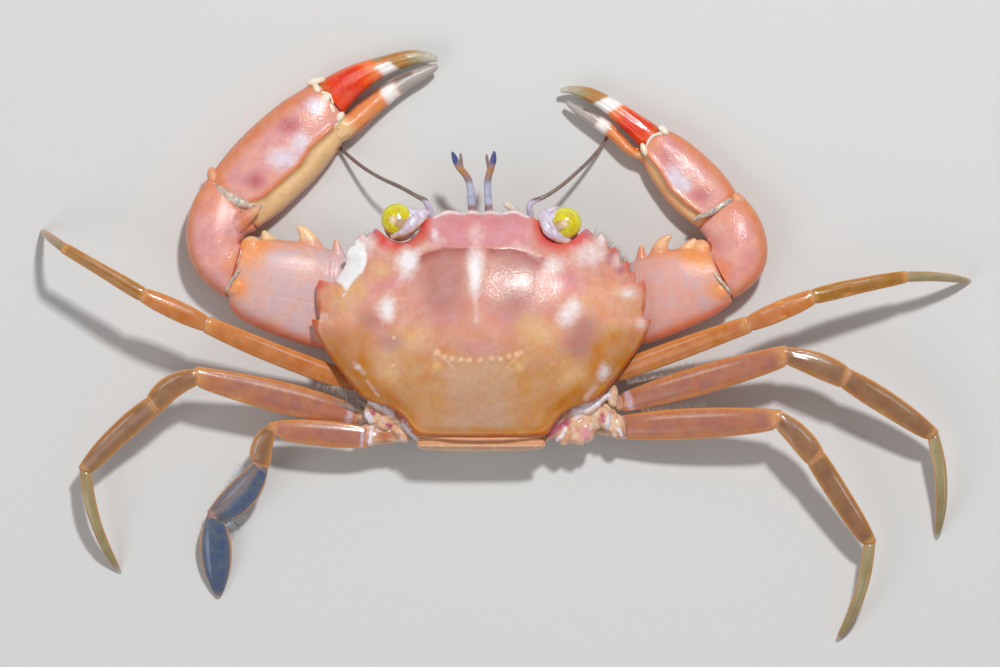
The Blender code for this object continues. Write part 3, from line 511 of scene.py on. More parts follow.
GROOVES = (
    ((-9.0, 9.6), (-9.2, 6.5), (-7.8, 3.0), (-5.4, -0.5), (-5.0, -3.0)),
    ((8.4, 9.6), (8.6, 6.5), (7.2, 3.0), (4.8, -0.5), (4.4, -3.0)),
)
SWELLINGS = (                # each is its height in mm, then its place and half sizes
    (0.06, -4.6, 6.4, 3.8, 3.4), (0.06, 4.2, 6.4, 3.8, 3.4), (0.3, -0.4, -8.4, 3.8, 3.0),
    (0.25, -13.4, -2.0, 4.5, 6.0), (0.25, 12.8, -2.0, 4.5, 6.0), (0.14, -5.0, 13.6, 2.0, 1.8),
    (0.14, 5.0, 13.6, 2.0, 1.8), (0.35, -7.6, 14.9, 1.1, 1.3), (0.35, 7.2, 14.7, 1.1, 1.3),
)
EYE_SOCKET = (12.1, 15.5)

# %% [markdown]
# The rim keeps its teeth only if the rounding is told to. The edges where the dome turns over into
# the underside are creased before the solid is subdivided, and the rest is left to flow. Long thin
# faces would show as ripples in the gloss, so the shell is made anew on an even grid and calmed
# inland of the rim, and only then gets its relief.

# %% Carapace relief
def on_rim(edge):
    """Whether the dome turns over into the underside at this edge."""
    heights = [face.normal.z for face in edge.link_faces]
    return min(heights) < 0.4 < max(heights)


EVEN_GRID = 0.2
GROOVE_DEPTH = 0.035         # this and the next two in millimetres
GRAIN_HEIGHT = 0.16
SCAR_HEIGHT = 0.2
EDGE_STEP = 1.5              # the shell's edge is measured once in this many degrees
EDGE_STEPS = 240

carapace = rounded("carapace", 3, grow=0.0, crease=on_rim)
even = carapace.modifiers.new("even", "REMESH")
even.mode = "VOXEL"
even.voxel_size = EVEN_GRID * MM
settle = carapace.modifiers.new("settle", "SMOOTH")
settle.iterations = 2
apply_modifiers(carapace)
at, facing = corners(carapace)
inland = (facing[:, 2] > 0.7) * ramp(1.12 - np.hypot(at[:, 0] / 21.5, (at[:, 1] + 1.0) / 14.5), 0, 0.15)
group = carapace.vertex_groups.new(name="inland")
for i in np.nonzero(inland > 0.02)[0]:
    group.add([int(i)], float(inland[i]), "REPLACE")
calm = carapace.modifiers.new("calm", "SMOOTH")
calm.iterations = 60
calm.vertex_group = "inland"
apply_modifiers(carapace)
print("even grid:", len(carapace.data.polygons), "faces")

# %% [markdown]
# How far out a corner lies, as a share of the way to the shell's edge, places the rim's paint and
# its lip. The edge is the farthest corner in each direction. The brow is a low step across the
# front of the stomach: raised ahead of its line, and sunk and dusky behind it.

# %% Carapace swellings, grooves and grains
at, facing = corners(carapace)
x, y = at[:, 0], at[:, 1]
turn = np.round(np.degrees(np.arctan2(y, x)) / EDGE_STEP).astype(int) + EDGE_STEPS // 2
edge = np.zeros(EDGE_STEPS + 2)
np.maximum.at(edge, turn, np.hypot(x, y))
edge = np.convolve(np.pad(edge[1:-1], 2, "wrap"), np.ones(5) / 5, "valid")
share = np.hypot(x, y) / np.interp(turn, np.arange(1, EDGE_STEPS + 1), edge)
upper = ramp(facing[:, 2], -0.1, 0.25)
left_brow, right_brow = distance(at, BROW_LEFT), distance(at, BROW_RIGHT)
brow_gap = np.minimum(left_brow[0], right_brow[0])
brow_side = np.where(x < -0.4, left_brow[1], right_brow[1])
behind_brow = ramp(brow_side, -0.15, 0.3) * band(brow_gap, 0, 1.7)
relief = (
    sum(height * spot(at, *place) for height, *place in SWELLINGS)
    + 0.05 * ramp(-brow_side, -0.2, 0.2) * band(brow_gap, 0, 0.7)
    - sum(GROOVE_DEPTH * line(at, groove, 1.3) for groove in GROOVES)
    + sum(GRAIN_HEIGHT * spot(at, *grain, 0.32) for grain in HEART_GRAINS)
    + 0.14 * band(share, 0.97, 0.012) * ramp(-y, -8, 2)
    + 0.05 * rough(at, 0.35)
)
push_out(carapace, relief * upper)
print("relief:", round(float(relief.min()), 2), "to", round(float(relief.max()), 2), "mm")

# %% [markdown]
# The colours were read off the photo, patch by patch, away from the highlights. The pairs of marks
# are alike on both sides but not equal, so each has its own place. Every mark is wider and softer
# than it looks, and the noise in the material then breaks up its edge. On the left the edge carries
# an old bite that healed as a smooth white scar. The pale line just ahead of the right brow and a
# few small pale and white marks are painted highlights.

# %% Carapace paint
def marks(places, at=at):
    """Soft spots, each twice over: a small strong middle and a wide faint edge."""
    return sum(0.55 * spot(at, x, y, *size) + 0.45 * spot(at, x, y, *[1.45 * s for s in size])
               for x, y, *size in places)


scar = ramp(distance(at, SCAR_EDGE)[1], -0.3, 0.4) * (x < -16) * ramp(y, 3.8, 4.6) * (y < 13)
push_out(carapace, SCAR_HEIGHT * scar * (0.8 + 0.5 * np.sin(y * 1.9)) * upper)
wide = np.abs(x)
socket = np.hypot(wide - EYE_SOCKET[0], y - EYE_SOCKET[1])
store(
    carapace,
    rear=ramp(-y, -2.5, 7.0),
    rear_middle=ramp(-y, 1.0, 7.0) * ramp(8.0 - np.abs(x + 0.4), 0, 5.5),
    side=ramp(wide, 9, 17) * ramp(y, -5, 3) * ramp(9.5 - y, 0, 5),
    mauve=marks(MAUVE_MARKS) * 0.9,
    pink=marks(PINK_MARKS) * 0.65 + 0.75 * ramp(y, 10.6, 12.2) * ramp(9.4 - wide, 0, 3),
    dusk=behind_brow,
    yellow=marks(YELLOW_MARKS) * 0.9,
    brown=marks(BROWN_MARKS) * 0.9 + 0.8 * ramp(share, 0.86, 0.97) * ramp(-y, -1, 5),
    red=ramp(6.0 - socket, 0, 2.4) * ramp(y, 8.8, 10.8) * ramp(wide - 6.4, 0, 2.2)
    + 0.75 * ramp(share, 0.93, 1.0) * ramp(y, 3, 6) * ramp(wide, 18, 19.4),
    rim=ramp(share, 0.955, 0.985) * ramp(-y, -7, -1),
    # pale and white carry painted highlights as well as the shell's own pale and white marks.
    pale=0.55 * (line(at, SWEEP_LEFT, 0.8) + line(at, BROW_HIGHLIGHT_RIGHT, 0.7))
    + sum(0.6 * line(at, *pale_line) for pale_line in PALE_LINES)
    + 0.6 * spot(at, -0.8, 13.6, 1.6, 2.2) + 0.5 * line(at, ((-0.8, 6.0), (-0.7, 0.4)), 0.6)
    + marks(PALE_MARKS_AND_HIGHLIGHTS),
    white=0.7 * marks(WHITE_MARKS_AND_HIGHLIGHTS) + 0.8 * band(share, 0.985, 0.018) * (y > 14) * ramp(7.6 - wide, 0, 0.8),
    tooth=marks(TOOTH_MARKS),
    scar=scar,
    grain=sum(spot(at, *grain, 0.42) for grain in HEART_GRAINS)
    + sum(0.6 * line(at, points, 0.2) + 0.8 * spot(at, *points[0], 0.5) for points in HEART_LINES)
    + sum(spot(at, *dot) for dot in PALE_DOTS),
)
CARAPACE_SHELL = shell(
    "crab_shell_calcified_back", "#E0A08C", "#D99886",
    [("side", "#EAA884", 0.9), ("rear", "#D09660", 0.95), ("rear_middle", "#D2A88C", 0.7),
     ("pink", "#D98E9E", 0.85), ("yellow", "#E6B880", 0.8), ("mauve", "#BC8279", 0.9),
     ("dusk", "#AD625E", 0.95), ("brown", "#CC8234", 0.9), ("red", "#DE5650", 0.85),
     ("rim", "#D0641E", 0.85), ("tooth", "#C9808C", 0.9), ("pale", "#F2D6D0", 0.8),
     ("white", "#F5EFF0", 0.95), ("grain", "#F3C9A6", 0.85), ("scar", "#FBFCFC", 1.0)],
    cloud_mm=3.2, blotch_mm=2.4, hue=0.007, grain_mm=0.32, depth_mm=0.042, roughness=0.42, coat=0.5)
wear(carapace, CARAPACE_SHELL, "pink_shell", "carapace")
print("carapace faces:", len(carapace.data.polygons))

# %% [markdown]
# A beige knob, the base of an inner feeler, looks out from under the front of the shell. It is
# moist skin, pale and slightly glossy.

# %% The knob at the front
PALE_SKIN = shell("membrane_pale_moist", "#E9DFD2", "#D6C6AE", [], cloud_mm=1.0, roughness=0.35)
knob = strand("feeler_base_knob", ((3.7, 18.35, 9.9, 0.6), (4.3, 17.5, 9.9, 0.62), (5.6, 16.7, 9.9, 0.35)))
wear(knob, PALE_SKIN, "stalk_skin")
print("knob at the front:", len(knob.data.polygons), "faces")

# %% [markdown]
# ## The underside
# The belly shell is paler and duller, since it is never seen by what hunts the crab. The tail flap
# folds under it, and two plates close the mouth. From above only the flap's first plate shows, as
# an orange strip with two pale lines, and ahead of it a fold of skin closes the gap to the shell.

# %% Belly, tail flap and mouth plates
BELLY_SHELL = shell("crab_shell_belly_matt", "#D9B296", "#E6CBB0", [("strip", "#E59C66", 0.9),
                    ("pale", "#F2DFC8", 0.9)], cloud_mm=3.0, roughness=0.5, coat=0.15)
UNDERSIDE = ("thorax", "abdomen", "mouth_plate_left", "mouth_plate_right")
for node in UNDERSIDE:
    dressed = rounded(node, 2, grow=0.0)
    at, facing = corners(dressed)
    if node == "abdomen":
        push_out(dressed, 0.12 * np.cos(at[:, 1] * 2.2) * ramp(-at[:, 2], -8.6, -7.4))
    upward = ramp(facing[:, 2], 0.2, 0.7) * ramp(at[:, 2], 7.5, 8.6)
    lines = band(at[:, 1], -17.15, 0.12) + band(at[:, 1], -18.1, 0.14)
    store(dressed, strip=upward * (node == "abdomen"), pale=lines * upward)
    wear(dressed, BELLY_SHELL, "belly_shell", node)
fold = strand("rear_fold", ((-9.6, -16.6, 10.7, 0.15), (-5.0, -17.0, 11.1, 0.3), (0.0, -17.1, 11.2, 0.3),
                            (5.0, -17.0, 11.1, 0.3), (9.6, -16.6, 10.7, 0.15)))
store(fold, strip=np.full(len(fold.data.vertices), 0.8))
wear(fold, BELLY_SHELL, "belly_shell")
print("underside pieces:", len(UNDERSIDE), "and a fold of", len(fold.data.polygons), "faces")

# %% [markdown]
# ## The legs
# A swimming crab's legs are flat, thin-walled and slightly see-through: brown flesh shows in the
# middle of each segment and the thick edges glow orange. So the edge mask does most of the work,
# from how far across a corner is. The same number raises a bead along each edge. The last leg's
# two end segments are a paddle: slate blue, with an orange rim and one brown half. The toes are
# horny, dull and olive.

# %% Leg finishes
def leg_shell(name, flesh, shade, edge):
    """The shell of one kind of leg segment: flesh colours inside and a glowing edge."""
    return shell(
        name, flesh, shade,
        [("warm", edge, 0.55), ("rim", "#E8A25A", 0.9), ("flank", "#CF7030", 0.7),
         ("joint_end", "#DDA262", 0.65), ("ring", "#DCCBDC", 0.8), ("gleam", "#E6CDBE", 0.5),
         ("tip", "#C9CBCB", 0.8)],
        cloud_mm=2.4, ragged_mm=0.6, grain_mm=0.3, depth_mm=0.02, roughness=0.3, flesh=0.2)


FRONT_ARM = leg_shell("crab_shell_front_leg_upper", "#CE8248", "#C0743C", "#DB8A48")
FRONT_SHIN = leg_shell("crab_shell_front_leg_lower", "#AA742C", "#9C6826", "#C08440")
BACK_ARM = leg_shell("crab_shell_back_leg_upper", "#BA7858", "#AA6E60", "#CE8650")
BACK_SHIN = leg_shell("crab_shell_back_leg_lower", "#9C7250", "#8C6348", "#C08648")
TOE = leg_shell("crab_shell_toe_horny", "#A3976E", "#9A8A60", "#C08C54")
# The paddle's pale blue streak along its front is a painted highlight too.
PADDLE = shell(
    "crab_shell_paddle_slate", "#46597C", "#5C6672",
    [("half", "#7A6A66", 0.9), ("warm", "#6C6E82", 0.4), ("rim", "#D29A66", 0.9),
     ("flank", "#9A6A48", 0.6), ("gleam", "#9CA4B8", 0.6), ("joint_end", "#B9907A", 0.7),
     ("tip", "#7C7468", 0.3)],
    cloud_mm=1.8, ragged_mm=0.6, grain_mm=0.3, depth_mm=0.02, flesh=0.15)
LEGS = ("leg_left_2", "leg_left_4", "leg_left_5", "leg_right_2", "leg_right_3", "leg_right_4")
SEGMENTS = ("coxa", "merus", "carpus", "propodus", "dactylus")
BEAD_HEIGHT = 0.08           # the beads and the keel along a leg's segment
FRONT_FINISHES = (None, FRONT_ARM, FRONT_ARM, FRONT_SHIN, TOE)
BACK_FINISHES = (None, BACK_ARM, BACK_SHIN, BACK_SHIN, TOE)


# %% Dressing one leg
def dress_segment(leg, number):
    """One segment of a walking leg, rounded, beaded along its edges and painted."""
    node = f"{leg}_{SEGMENTS[number]}"
    dressed = rounded(node, 2, grow=0.12)
    at, facing = corners(dressed)
    near = joint(f"{leg}_{SEGMENTS[number - 1]}", node)[0]
    if number < 4:
        far = joint(node, f"{leg}_{SEGMENTS[number + 1]}")[0]
    else:
        far = at[np.argmax(np.linalg.norm(at - near, axis=1))]
    along, across = lay(at, near, far)
    outwards = np.abs(across)
    middle = ramp(along, 0.02, 0.12) * ramp(1 - along, 0.02, 0.12)
    bead = band(outwards, 0.86, 0.07) - 0.7 * band(outwards, 0.68, 0.1)
    keel = 0.6 * band(across, 0, 0.16) * (number > 1)
    push_out(dressed, BEAD_HEIGHT * (bead + keel) * middle * np.abs(facing[:, 2]))
    front = -across if "left" in leg else across
    # A pale streak along the front of each segment, on its upper faces, is a painted highlight.
    highlight_streak = band(front, 0.52, 0.09) * ramp(along, 0.1, 0.3) * ramp(1 - along, 0.1, 0.4)
    paddle = leg == "leg_left_5" and number >= 3
    near_joint = 1 - ramp(1 - along, 0.0, 0.1) + 0.7 * (1 - ramp(along, 0.0, 0.06))
    store(dressed, warm=ramp(outwards, 0.35, 0.9), rim=ramp(outwards, 0.8, 0.95), flank=flank(facing),
          ring=band(along, 0.05, 0.018) * (number == 1), joint_end=near_joint * (number < 4 or paddle),
          gleam=highlight_streak * ramp(facing[:, 2], 0, 0.5), tip=ramp(along, 0.86, 1.0) * (number == 4),
          half=ramp(-across, -0.1, 0.15) * (number == 3))
    if paddle:
        return wear(dressed, PADDLE, "paddle_shell", node)
    finishes = FRONT_FINISHES if leg.endswith("2") else BACK_FINISHES
    return wear(dressed, finishes[number], "leg_shell", node)


for leg in LEGS:
    for number in range(1, 5):
        dress_segment(leg, number)
        joint_skin(f"{leg}_{SEGMENTS[number - 1]}", f"{leg}_{SEGMENTS[number]}", SKIN)
print("legs:", len(LEGS))

# %% [markdown]
# ## The hips
# The first segment of each leg, and the stumps of the two that are lost, are pale, knobbly and wet,
# cream and orange with magenta in the folds and pearly lilac on the knobs. Behind the shell they
# crowd together, so each side gets ten or twelve knobs grown into one. Noise roughens it, and the
# magenta lines are pressed in as grooves. The strongest marks have places of their own.

# %% Hips and stumps
HIP_SHELL = shell(
    "crab_shell_hip_pearly", "#E6C3A4", "#DDA57C",
    [("fold", "#CC8C78", 0.45), ("brown", "#BE744A", 0.9), ("magenta", "#B8406C", 0.9),
     ("pearl", "#F0ECF6", 0.95), ("scar", "#E79AA8", 0.9)],
    cloud_mm=1.3, ragged_mm=0.5, roughness=0.26, coat=0.8)
MAGENTA_LINES = (            # each is its points and half its width
    (((-9.6, -16.0), (-10.7, -14.8), (-11.7, -13.8)), 0.7),
    (((10.2, -16.4), (11.4, -15.4), (12.8, -14.6)), 0.75),
    (((-16.5, -12.9), (-16.2, -13.3)), 0.4), (((-14.1, -15.0), (-13.6, -15.2)), 0.4),
    (((18.1, -13.6), (18.3, -14.4)), 0.45),
)
PEARL_LINES = (
    (((-18.0, -10.6), (-15.6, -12.1), (-13.4, -13.2)), 0.6),
    (((-11.9, -14.9), (-10.9, -16.1), (-9.9, -17.3)), 0.25),
    (((-16.5, -15.6), (-16.7, -17.0), (-17.6, -18.4)), 0.3),
    (((18.8, -10.4), (16.8, -11.8), (14.2, -13.3)), 0.85),
    (((12.7, -15.4), (12.2, -16.4), (10.8, -17.9)), 0.3),
    (((20.6, -15.6), (21.3, -17.0), (22.4, -17.8)), 0.3),
    (((-17.4, -13.4), (-16.9, -14.4)), 0.5), (((19.2, -13.6), (19.0, -15.4)), 0.5),
)
BROWN_HIPS = ((-14.6, -16.7, 1.9, 1.4), (21.0, -16.6, 0.9, 0.9))
STUMP_SCAR = (15.6, -16.3, 1.0, 1.3)
HIP_KNOBS = (                # each is its middle, its half sizes and its turn in degrees
    ((-13.4, -14.7, 6.6), (3.8, 2.4, 1.3), 20), ((-12.9, -13.7, 7.9), (3.1, 1.0, 1.3), -45),
    ((-10.8, -15.0, 8.0), (1.1, 2.4, 1.4), 38), ((-12.2, -16.3, 7.4), (1.2, 2.0, 1.4), 60),
    ((-14.4, -14.6, 7.8), (1.5, 1.4, 1.3), 0), ((-16.6, -13.2, 7.6), (1.0, 1.7, 1.2), 10),
    ((-15.6, -11.9, 8.0), (2.0, 0.8, 0.9), -40), ((-16.7, -16.4, 6.6), (1.5, 1.7, 1.2), 10),
    ((-14.2, -16.5, 6.9), (1.7, 1.4, 1.2), 20), ((-15.3, -13.3, 7.3), (1.3, 1.3, 1.2), 0),
    ((-11.4, -14.1, 8.0), (2.3, 1.0, 1.3), -50), ((-9.2, -16.8, 7.6), (1.6, 0.9, 1.0), -35),
    ((15.4, -14.0, 6.7), (5.0, 2.3, 1.3), 12), ((14.9, -12.3, 7.9), (4.4, 0.9, 1.2), 25),
    ((11.0, -15.2, 7.9), (1.1, 2.4, 1.4), -38), ((12.4, -16.2, 7.4), (1.5, 1.9, 1.3), -10),
    ((15.4, -15.9, 7.2), (1.8, 1.9, 1.3), 15), ((17.2, -11.8, 8.1), (2.4, 0.9, 1.0), 42),
    ((18.4, -14.0, 7.4), (1.1, 1.7, 1.2), 10), ((20.3, -15.2, 6.6), (1.4, 2.0, 1.1), 20),
    ((19.7, -10.6, 7.4), (1.0, 1.8, 1.0), 10), ((9.4, -16.8, 7.6), (1.6, 0.9, 1.0), 35),
)


# %% Dressing the hips and stumps
def dress_hip(obj, *nodes):
    """A wet, knobbly hip: roughened, grooved along its magenta lines and painted."""
    at, _ = corners(obj)
    knobs = rough(at, 0.8)
    magenta = sum(line(at, *one) for one in MAGENTA_LINES)
    push_out(obj, np.clip(knobs * 0.3, -0.2, 0.1) - 0.1 * magenta)
    # fold paints the hollows between the knobs darker, as painted shade.
    store(obj, fold=ramp(-knobs, 0.12, 0.4), scar=spot(at, *STUMP_SCAR), magenta=magenta,
          brown=sum(spot(at, *one) for one in BROWN_HIPS),
          pearl=0.5 * ramp(rough(at, 1.3, (9, 0, 0)), 0.2, 0.45) + sum(line(at, *one) for one in PEARL_LINES))
    return wear(obj, HIP_SHELL, "leg_shell", *nodes)


hips = [f"{leg}_coxa" for leg in LEGS]
hips += ["leg_left_3_stump", "leg_right_5_stump", "claw_left_coxa", "claw_right_coxa"]
for node in hips:
    dress_hip(rounded(node, 3), node)
for side, sign in (("left", -1), ("right", 1)):
    knobs = [lump(f"hip_{side}_{k}", *knob, segments=32)
             for k, knob in enumerate(HIP_KNOBS) if knob[0][0] * sign > 0]
    dress_hip(grown_together(f"hip_knobs_{side}", knobs))
print("hips:", len(hips))

# %% [markdown]
# ## The claws
# The claws are the same shell, thicker and brighter. Each palm is mauve and pink above a curved
# ridge and yellow tan below it. Red fingers end in a white band and a horn-coloured tip. The ridge
# is one line used twice: once to raise the surface and once to divide the colours. The upper arm
# is pearly and wrinkled near the body, with lobes at its elbow that are grown together with it.

# %% Claw finishes
CLAW_SHELL = shell(
    "crab_shell_claw_polished", "#EAA898", "#DF9A9A",
    [("under", "#ECC48E", 0.95), ("rim", "#E0824A", 0.85), ("mauve", "#C2666C", 0.85),
     ("flank", "#E0683A", 0.8), ("orange", "#E88A48", 0.9), ("pearl", "#E8DAE6", 0.95),
     ("stripe", "#9C4A28", 0.7), ("horn", "#AFA8A4", 0.95), ("white", "#F6F2EC", 0.98),
     ("molar", "#6A5040", 0.75)],
    cloud_mm=3.4, grain_mm=0.34, depth_mm=0.075, roughness=0.4, coat=0.6)
ARM_SHELL = shell(
    "crab_shell_arm_pearly", "#DDB0A6", "#D3B4B8",
    [("rim", "#EE7C44", 0.85), ("orange", "#F59C54", 0.85), ("flank", "#E2743C", 0.8),
     ("spine", "#F2D2A4", 0.9), ("pearl", "#DDCBD2", 0.9), ("grey", "#BDBAC2", 0.8)],
    cloud_mm=3.2, grain_mm=0.34, depth_mm=0.075, roughness=0.45, coat=0.35)
FINGER_SHELL = shell(
    "crab_shell_finger_polished", "#F04C24", "#E23C20",
    [("base", "#CE6A34", 0.7), ("glow", "#FA8444", 0.85), ("flank", "#D8541E", 0.6),
     ("horn", "#A89468", 1.0), ("amber", "#BC7A34", 0.8), ("white", "#FAF6F2", 1.0),
     ("grey", "#C9C8BC", 0.8)],
    cloud_mm=2.4, depth_mm=0.03, roughness=0.34, coat=0.6)
CREAM = shell(
    "crab_shell_joint_knob_cream", "#FCF3E4", "#F6E2C2", [("blush", "#EEB076", 0.4)],
    cloud_mm=0.8, ragged_mm=0.4, roughness=0.25, coat=0.8)

# %% [markdown]
# The places of the marks were read off the photo, for each side. A spot is x, y and its half sizes.
# The bands of a finger are shares of its length, and the white top is how far across it reaches.

# %% Where the claws' marks are
# The pearl spots of each palm are painted highlights.
CLAWS = {
    "left": {
        "ridge": ((-22.6, 29.6), (-25.9, 26.7), (-27.4, 24.2), (-29.8, 22.1), (-32.8, 19.5), (-34.9, 18.6)),
        "pearl": ((-29.8, 25.0, 2.8, 1.8), (-27.0, 27.6, 1.4, 1.6), (-25.0, 33.0, 1.6, 1.4)),
        "mauve": ((-28.8, 30.0, 2.2, 1.5), (-34.0, 21.6, 1.8, 1.5)), "mauve_depth": 0.95,
        "tip": (-6.7, 39.1), "finger": 15.0, "under_glow": 0,
        "bite": ((-18.4, 33.6), (-14.5, 36.3), (-10.7, 37.9)),
        "stripe": ((-13.2, 33.6), (-17.3, 30.2), (-20.7, 27.2)),
        "hinge": (-23.8, 33.2, 2.6), "hinge_skin": ((-23.4, 33.7, 4.2), (0.7, 2.3, 1.3), 29),
        "white_band": (0.49, 0.61), "white_top": 0.4,
        "carpus_rim": 0, "arm_rim": 0.12, "spine_line": 12.2, "spine": 1, "spine_glow": 0.6,
        "elbow": ((-35.0, 10.8, 3.0, 2.6), (-36.6, 5.6, 2.4, 2.2)),
        "lobes": (((-34.6, 11.4, 6.5), (1.8, 2.0, 1.25)), ((-36.6, 5.8, 7.0), (2.0, 1.8, 1.5), 30),
                  *[((-31.4 + 0.6 * k, 12.4, 5.4), (0.32, 0.36, 0.36)) for k in range(6)]),
    },
    "right": {
        "ridge": ((24.6, 26.4), (27.0, 23.4), (28.6, 20.6), (31.2, 18.2), (33.6, 16.6)),
        "pearl": ((29.0, 22.4, 1.6, 1.8), (30.6, 21.0, 1.2, 1.2)),
        "mauve": ((28.6, 26.0, 2.2, 1.8), (33.2, 19.6, 1.9, 1.3)), "mauve_depth": 0.7,
        "tip": (12.9, 33.7), "finger": 12.0, "under_glow": 0.45,
        # The right claw's stripe is a painted shadow; the left claw's is the dark lower margin of its fixed
        # finger.
        "bite": ((21.6, 29.8), (18.3, 31.6), (15.6, 32.6)), "stripe": ((20.6, 29.2), (23.9, 27.0)),
        "hinge": (25.8, 27.6, 2.0), "hinge_skin": ((25.9, 27.8, 4.0), (0.6, 1.5, 1.1), -45),
        "white_band": (0.47, 0.61), "white_top": 1.3,
        "carpus_rim": 0.3, "arm_rim": 0.35, "spine_line": 10.9, "spine": 0.55, "spine_glow": 0.75,
        "elbow": ((33.4, 9.6, 2.6, 2.2), (35.8, 5.2, 2.2, 1.8)),
        "lobes": (((33.1, 11.2, 5.2), (1.5, 1.7, 1.2)), ((36.0, 5.1, 6.6), (1.7, 1.5, 1.4), -30)),
    },
}
RIDGE_HEIGHT = 0.4           # the ridge along the upper side of a palm
FINGER_GROOVE = 0.1          # how deep the two grooves along a finger are
RIPPLE_STEP = 0.8            # from one ripple of the upper arm to the next
ARM_FOLD = ((-32.9, 4.7), (-29.9, 4.2), (-27.2, 3.6), (-24.7, 3.1))
WRIST_SPINE = (-33.5, 16.8, 1.3)
WRIST_GLOW = (-35.3, 15.3, 1.6)
WRIST_SPINE_TIP = (-32.9, 17.6, 0.5)


# %% Dressing the palms
def dress_palm(side, claw):
    """The palm and its fixed finger, with the ridge raised and the colours on both sides of it."""
    node = f"claw_{side}_palm"
    dressed = rounded(node, 3, grow=0.12)
    at, facing = corners(dressed)
    along, across = lay(at, joint(f"claw_{side}_carpus", node)[0], joint(node, f"claw_{side}_finger")[0])
    outer = across if side == "left" else -across
    ridge_gap, ridge_side = distance(at, claw["ridge"])
    inner = -ridge_side if side == "left" else ridge_side
    upward = ramp(facing[:, 2], 0, 0.4)
    reach = np.hypot(at[:, 0] - claw["tip"][0], at[:, 1] - claw["tip"][1]) / claw["finger"]
    on_palm = ramp(reach, 0.8, 1.1)
    crest = band(ridge_gap, 0, 0.4) - 0.8 * band(ridge_gap, 1.0, 0.6) * (inner > 0)
    push_out(dressed, RIDGE_HEIGHT * crest * upward * on_palm)
    under = ramp(inner, -0.1, 0.5) * on_palm
    store(
        dressed, under=under, flank=flank(facing) * on_palm,
        rim=on_palm * (ramp(outer, 0.4, 0.95) + 0.9 * band(ridge_gap, 0.1, 0.4)
                       + 0.9 * (1 - ramp(along, 0, 0.07))),
        mauve=sum(spot(at, *one) for one in claw["mauve"]) * claw["mauve_depth"],
        # The pale pearly spots on the palm's upper faces are painted highlights.
        pearl=sum(spot(at, *one) for one in claw["pearl"]) * upward * ramp(-inner, 0, 0.6),
        orange=ramp(1.15 - reach, 0, 0.2) + 0.6 * spot(at, *claw["hinge"]) + claw["under_glow"] * under,
        # The stripe is the fixed finger's dark margin on the left claw and a painted shadow on the right.
        stripe=line(at, claw["stripe"], 0.35), molar=line(at, claw["bite"], 0.4),
        horn=1 - ramp(reach, 0.42, 0.52), white=ramp(reach, 0.42, 0.5) * (1 - ramp(reach, 0.58, 0.68)) * 0.95,
    )
    return wear(dressed, CLAW_SHELL, "claw_shell", node)


# %% Dressing the fingers
def dress_finger(side, claw):
    """The finger that moves: two grooves, and bands of red, white and horn."""
    node = f"claw_{side}_finger"
    dressed = rounded(node, 3, grow=0.1)
    at, facing = corners(dressed)
    far = at[np.argmax(np.linalg.norm(at - joint(f"claw_{side}_palm", node)[0], axis=1))]
    near = at[np.argmax(np.linalg.norm(at - far, axis=1))]
    along, across = lay(at, near, far)
    groove = band(across, 0.25, 0.14) + band(across, -0.3, 0.14)
    middle = ramp(along, 0.1, 0.3) * ramp(1 - along, 0.05, 0.3)
    push_out(dressed, -FINGER_GROOVE * groove * middle * np.abs(facing[:, 2]))
    low, high = claw["white_band"]
    outer = across if side == "left" else -across
    slanted = along + 0.06 * outer
    past_band = ramp(slanted, high - 0.05, high + 0.03)
    beside_band = ramp(slanted, low, low + 0.06) * ramp(outer, claw["white_top"], 0.6)
    in_band = ramp(slanted, low - 0.05, low + 0.03) * (1 - ramp(slanted, high - 0.02, high + 0.03))
    store(
        dressed, base=1 - ramp(along, 0.03, 0.14), flank=flank(facing), grey=ramp(along, 0.7, 1.0),
        glow=ramp(along, 0.3, low) + 0.7 * ramp(outer, 0.5, 1.0) * ramp(along, 0.05, 0.2),
        amber=band(slanted, high + 0.06, 0.07) + 0.7 * ramp(outer, 0.1, 0.6) * ramp(along, 0.5, 0.6),
        horn=np.maximum(past_band, beside_band), white=in_band * ramp(claw["white_top"] - outer, 0, 0.25),
    )
    return wear(dressed, FINGER_SHELL, "finger_shell", node)


